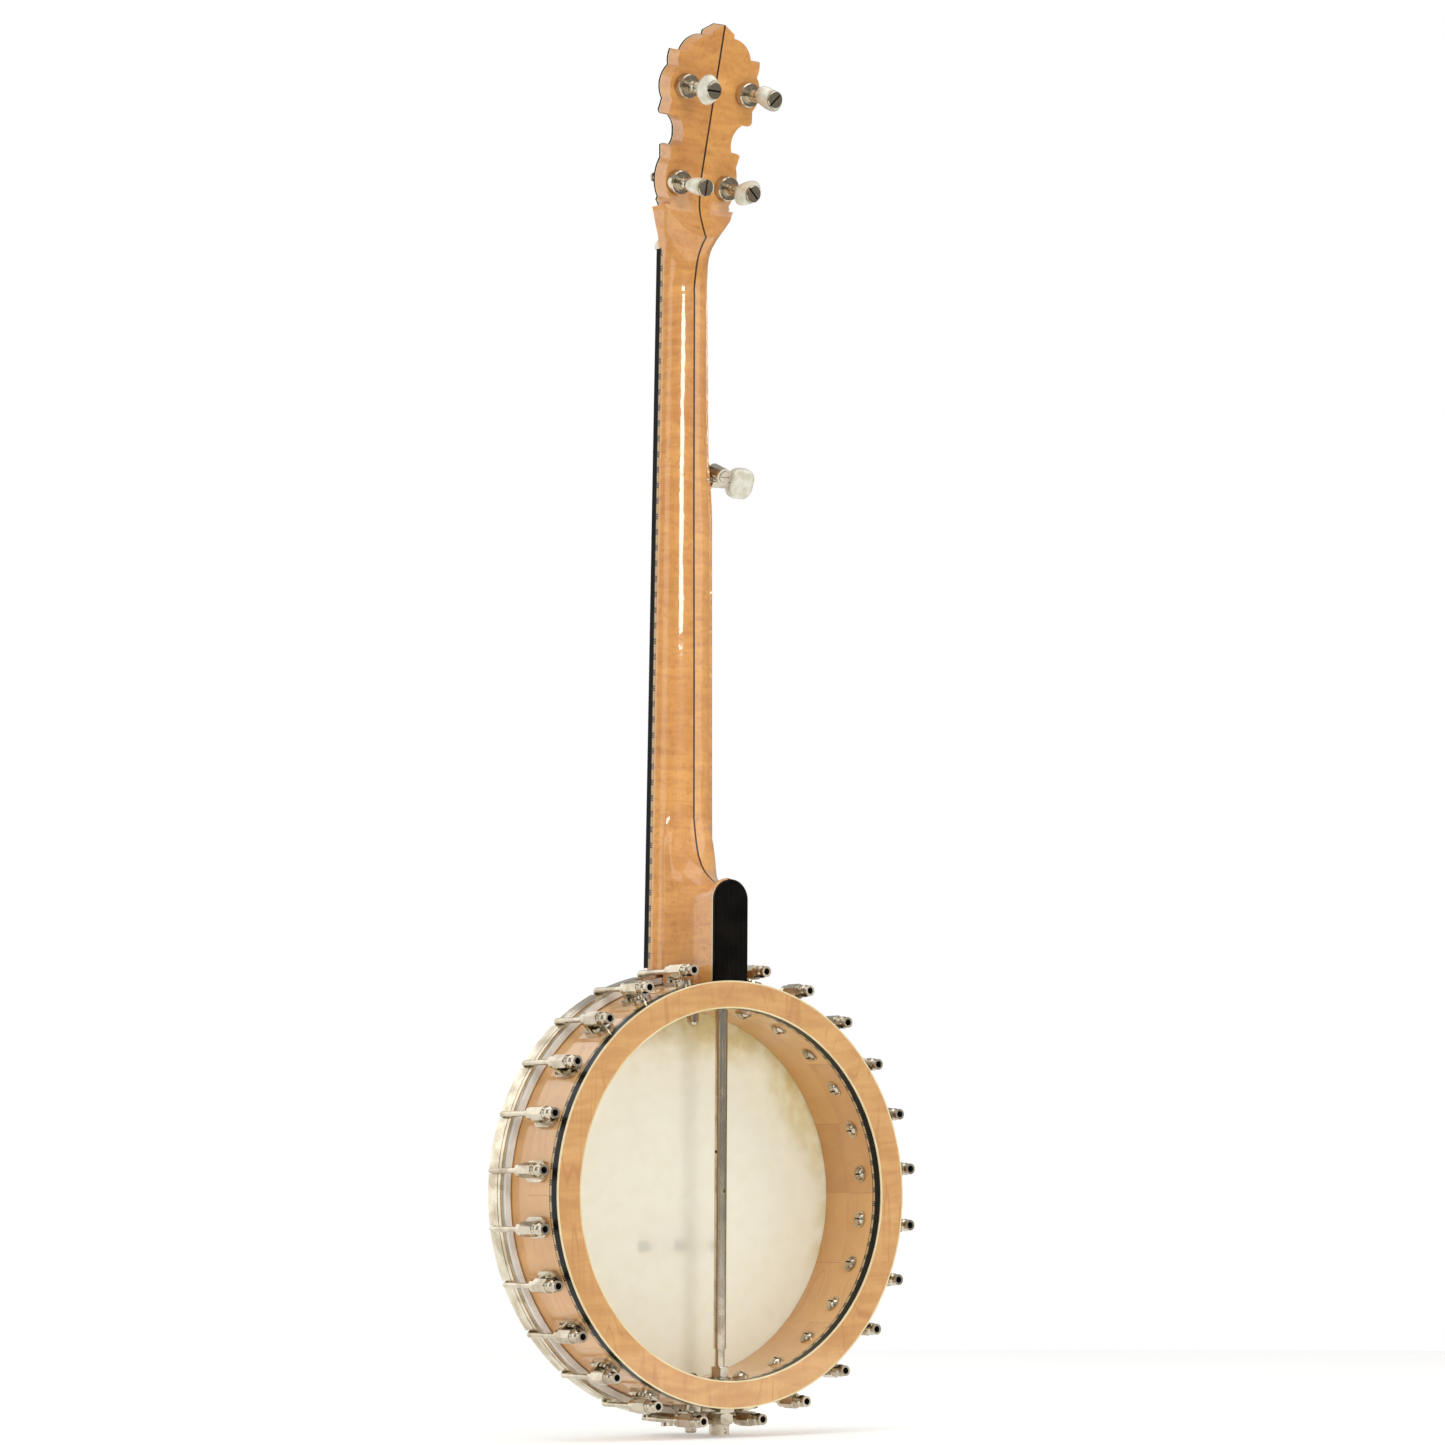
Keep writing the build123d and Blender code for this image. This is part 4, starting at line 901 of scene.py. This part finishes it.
@dataclass
class HookNuts:
    """Painted shade in the open ends of the hook nuts: dark cups that line their bores."""

    per_side: int = 12
    first_angle: float = 11.4          # degrees from the neck
    step: float = 159.4 / 11
    circle: float = 149.2 * MM
    bore: float = 2.17 * MM
    mouth: float = -2.9 * MM
    floor: float = -8.3 * MM

    def bore_shade_liner(self, angle: float) -> bmesh.types.BMesh:
        """A thin-walled dark cup, painted shade, that lines one nut's bore.

        Args:
            angle: The nut's angle from the neck, in degrees.

        Returns:
            The cup's shape, in the pot's own axes.
        """
        mesh = bmesh.new()
        wall = 0.12 * MM
        profile = [
            (0.0, self.floor), (self.bore, self.floor), (self.bore, self.mouth),
            (self.bore - wall, self.mouth), (self.bore - wall, self.floor + wall), (0.0, self.floor + wall),
        ]
        ring = [mesh.verts.new((radius, depth, 0.0)) for radius, depth in profile]
        edges = [mesh.edges.new(pair) for pair in zip(ring, ring[1:])]
        bmesh.ops.spin(mesh, geom=ring + edges, cent=(0, 0, 0), axis=(0, 1, 0), dvec=(0, 0, 0),
                       angle=math.tau, steps=24, use_merge=True, use_duplicate=False)
        bmesh.ops.remove_doubles(mesh, verts=mesh.verts, dist=1e-7)
        bmesh.ops.translate(mesh, vec=(0.0, 0.0, self.circle), verts=mesh.verts)
        turn = Matrix.Rotation(math.radians(angle), 3, "Y")
        bmesh.ops.rotate(mesh, cent=(0, 0, 0), matrix=turn, verts=mesh.verts)
        return mesh

    def build(self, wardrobe: Wardrobe) -> None:
        """Makes the painted-shade liners as one piece for each side."""
        for side, way in (("treble", 1), ("bass", -1)):
            whole = bmesh.new()
            for k in range(self.per_side):
                join(whole, self.bore_shade_liner(way * (self.first_angle + self.step * k)))
            piece = keep_piece(whole, f"nut_bore_painted_shade_{side}", POT.matrix(), BODY)
            wardrobe.wear(piece, "bore_shadow")
            log.info("%s hook nuts bored", side)


@dataclass
class ScrewSlotShade:
    """Painted shade: dark linings in the slots of the tuners' end screws and of the shoe bolts' domes."""

    tuner_floor: float = 34.61 * MM
    tuner_lip: float = 35.25 * MM
    bolt_floor: float = 118.85 * MM
    bolt_lip: float = 118.35 * MM
    bolt_depth: float = -21.5 * MM
    wall: float = 0.1 * MM

    def liner(self, half_width: float, half_length: float, floor: float, lip: float) -> bmesh.types.BMesh:
        """A thin dark channel, painted shade, that lines one slot, with its length along X and its depth along Z.

        Args:
            half_width: Half of the slot's width.
            half_length: Half of its length.
            floor: Where its floor lies.
            lip: Where its walls end.

        Returns:
            The channel's shape.
        """
        mesh = bmesh.new()
        inner, step = half_width - self.wall, math.copysign(self.wall, lip - floor)
        outline = [
            (-half_width, lip), (-half_width, floor), (half_width, floor), (half_width, lip),
            (inner, lip), (inner, floor + step), (-inner, floor + step), (-inner, lip),
        ]
        end = mesh.faces.new([mesh.verts.new((-half_length, across, depth)) for across, depth in outline])
        grown = bmesh.ops.extrude_face_region(mesh, geom=[end], use_keep_orig=True)["geom"]
        moved = [item for item in grown if isinstance(item, bmesh.types.BMVert)]
        bmesh.ops.translate(mesh, vec=(2 * half_length, 0.0, 0.0), verts=moved)
        return mesh

    def build(self, wardrobe: Wardrobe) -> None:
        """Makes one painted-shade liner for each tuner, and the shoe bolts' painted-shade liners as one piece."""
        for number, (x, up, turn) in TUNER_SPOTS.items():
            liner = self.liner(0.59 * MM, 5.1 * MM, self.tuner_floor, self.tuner_lip)
            place = Tuners().place(x * MM, up * MM) @ Matrix.Rotation(math.radians(turn), 4, "Z")
            piece = keep_piece(liner, f"tuner_{number}_slot", place, f"peg_{number}_button")
            wardrobe.wear(piece, "bore_shadow")
        whole = bmesh.new()
        nuts = HookNuts()
        for way in (1, -1):
            for k in range(nuts.per_side):
                liner = self.liner(0.49 * MM, 2.6 * MM, self.bolt_floor, self.bolt_lip)
                upright = Matrix.Rotation(math.pi / 2, 3, "Z")
                bmesh.ops.rotate(liner, cent=(0, 0, 0), matrix=upright, verts=liner.verts)
                bmesh.ops.translate(liner, vec=(0.0, self.bolt_depth, 0.0), verts=liner.verts)
                turn = Matrix.Rotation(math.radians(way * (nuts.first_angle + nuts.step * k)), 3, "Y")
                bmesh.ops.rotate(liner, cent=(0, 0, 0), matrix=turn, verts=liner.verts)
                join(whole, liner)
        piece = keep_piece(whole, "shoe_bolt_slot_painted_shade", POT.matrix(), BODY)
        wardrobe.wear(piece, "bore_shadow")
        log.info("screw slots lined")


@dataclass
class StringLoops:
    """The looped and twisted string ends on the tailpiece's lugs."""

    lug_depth: float = -48.0 * MM
    lug_foot: float = -265.7 * MM
    lug_spacing: float = 5.3 * MM
    loop_radius: float = 2.2 * MM
    twists: int = 5

    def build(self, wardrobe: Wardrobe) -> None:
        """Makes a loop and a twist for each string."""
        for k, wire in enumerate((0.15, 0.16, 0.2, 0.3, 0.15)):
            x = (2 - k) * self.lug_spacing
            height = self.lug_foot - wire * MM - 0.15 * MM
            ring = []
            for step in range(12):
                angle = math.tau * step / 12
                y = self.lug_depth + self.loop_radius * math.sin(angle)
                ring.append(ROD.matrix() @ Vector((x + self.loop_radius * 0.82 * math.cos(angle), y, height)))
            loop = wire_piece(ring, wire * MM, f"string_{k + 1}_loop", BODY, closed=True)
            twist = []
            for step in range(self.twists * 8 + 1):
                angle = math.tau * step / 8
                y = self.lug_depth - self.loop_radius - step / 8 * wire * 2.3 * MM
                swing = wire * 1.9 * MM
                spot = Vector((x + swing * math.cos(angle), y, height + swing * math.sin(angle)))
                twist.append(ROD.matrix() @ spot)
            wrap = wire_piece(twist, wire * 0.9 * MM, f"string_{k + 1}_twist", BODY)
            for piece in (loop, wrap):
                wardrobe.wear(piece, "string_wire")
            log.info("string %d hooked on its lug", k + 1)


# ---- studio ----

@dataclass(frozen=True)
class Softbox:
    """One soft light."""

    name: str
    spot: tuple[float, float, float]
    aim: tuple[float, float, float]
    size: tuple[float, float]
    power: float
    colour: Colour = (1.0, 1.0, 1.0)

    def build(self) -> None:
        """Hangs the light."""
        data = bpy.data.lights.new(self.name, "AREA")
        data.shape = "RECTANGLE"
        data.size, data.size_y = self.size
        data.energy = self.power
        data.color = self.colour
        light = bpy.data.objects.new(self.name, data)
        light.location = self.spot
        way = Vector(self.aim) - Vector(self.spot)
        light.rotation_euler = way.to_track_quat("-Z", "Y").to_euler()
        bpy.context.scene.collection.objects.link(light)


@dataclass
class Studio:
    """The pale floor, the lights, the surroundings and the camera."""

    floor_radius: float = 1.8

    def build(self) -> None:
        """Sets the whole studio up."""
        self.floor()
        self.lights()
        self.surroundings()
        self.camera()

    def floor(self) -> None:
        """Lays the pale floor at the level that the banjo stands on."""
        mesh = bmesh.new()
        bmesh.ops.create_circle(mesh, cap_ends=True, segments=128, radius=self.floor_radius)
        bmesh.ops.translate(mesh, vec=(0.0, 0.0, -0.0006), verts=mesh.verts)
        data = bpy.data.meshes.new("floor")
        mesh.to_mesh(data)
        mesh.free()
        piece = bpy.data.objects.new("floor", data)
        bpy.context.scene.collection.objects.link(piece)
        material, s, shader = new_material("floor_paint")
        vector = s.local(POT)
        cloud = s.noise(vector, 3.0, 3.0)
        colour = s.mix(cloud, (0.9, 0.9, 0.89), (0.94, 0.94, 0.93))
        dress(s, shader, colour, s.span(cloud, 0.3, 0.7, 0.7, 0.8), s.noise(vector, 400.0, 2.0), 0.02 * MM,
              Emission_Color=(1.0, 1.0, 1.0, 1.0), Emission_Strength=0.28)
        data.materials.append(material)

    def lights(self) -> None:
        """Hangs the soft lights."""
        for light in (
            Softbox("top_softbox", (0.3, 0.6, 2.8), (0.0, 0.0, 0.4), (2.6, 2.6), 30.0),
            Softbox("treble_softbox", (3.0, 0.6, 1.4), (0.0, 0.0, 0.45), (1.6, 2.2), 17.0),
            Softbox("bass_softbox", (-2.4, 2.4, 1.5), (0.0, 0.0, 0.4), (1.8, 2.2), 18.0),
            Softbox("back_softbox", (0.5, 2.8, 1.05), (0.0, 0.0, 0.55), (0.75, 0.5), 20.0),
            Softbox("front_softbox", (0.9, -2.6, 1.0), (0.0, 0.0, 0.4), (3.2, 2.4), 27.0),
        ):
            light.build()

    def surroundings(self) -> None:
        """White to the eye, and paler above than below to whatever it lights."""
        world = bpy.data.worlds.new("studio_air")
        bpy.context.scene.world = world
        world.use_nodes = True
        world.node_tree.nodes.clear()
        s = Sketch(world.node_tree)
        way = s.node("ShaderNodeTexCoord").outputs["Generated"]
        up = s.node("ShaderNodeSeparateXYZ", {0: way}).outputs["Z"]
        tint = s.mix(s.span(up, -0.25, 0.55), (0.42, 0.39, 0.35), (1.0, 0.99, 0.97))
        lit = s.node("ShaderNodeBackground", {"Color": tint, "Strength": 0.47})
        seen = s.node("ShaderNodeBackground", {"Color": (1.0, 1.0, 1.0, 1.0), "Strength": 1.0})
        eye = s.node("ShaderNodeLightPath").outputs["Is Camera Ray"]
        both = s.node("ShaderNodeMixShader", {0: eye, 1: lit.outputs[0], 2: seen.outputs[0]})
        s.node("ShaderNodeOutputWorld", {"Surface": both.outputs[0]})

    def camera(self) -> None:
        """Sets the camera behind the banjo, a little to its treble side."""
        data = bpy.data.cameras.new("camera")
        data.lens = 128.061
        data.sensor_width = 36.0
        camera = bpy.data.objects.new("camera", data)
        camera.location = (1.98817, 2.73291, 0.16259)
        turn = (math.radians(angle) for angle in (95.1633, 0.3401, 144.0952))
        camera.rotation_euler = Euler(tuple(turn), "XYZ")
        bpy.context.scene.collection.objects.link(camera)
        bpy.context.scene.camera = camera
        bpy.context.scene.view_settings.view_transform = "Standard"


def main() -> None:
    """Builds the studio and the banjo's looks in order."""
    logging.basicConfig(level=logging.INFO, format="%(name)s: %(message)s")
    Studio().build()
    wardrobe = Wardrobe()
    wardrobe.dress_frame()
    Tuners().build(wardrobe)
    FifthString().build(wardrobe)
    StringLoops().build(wardrobe)
    HookNuts().build(wardrobe)
    ScrewSlotShade().build(wardrobe)


if __name__ == "__main__":
    main()
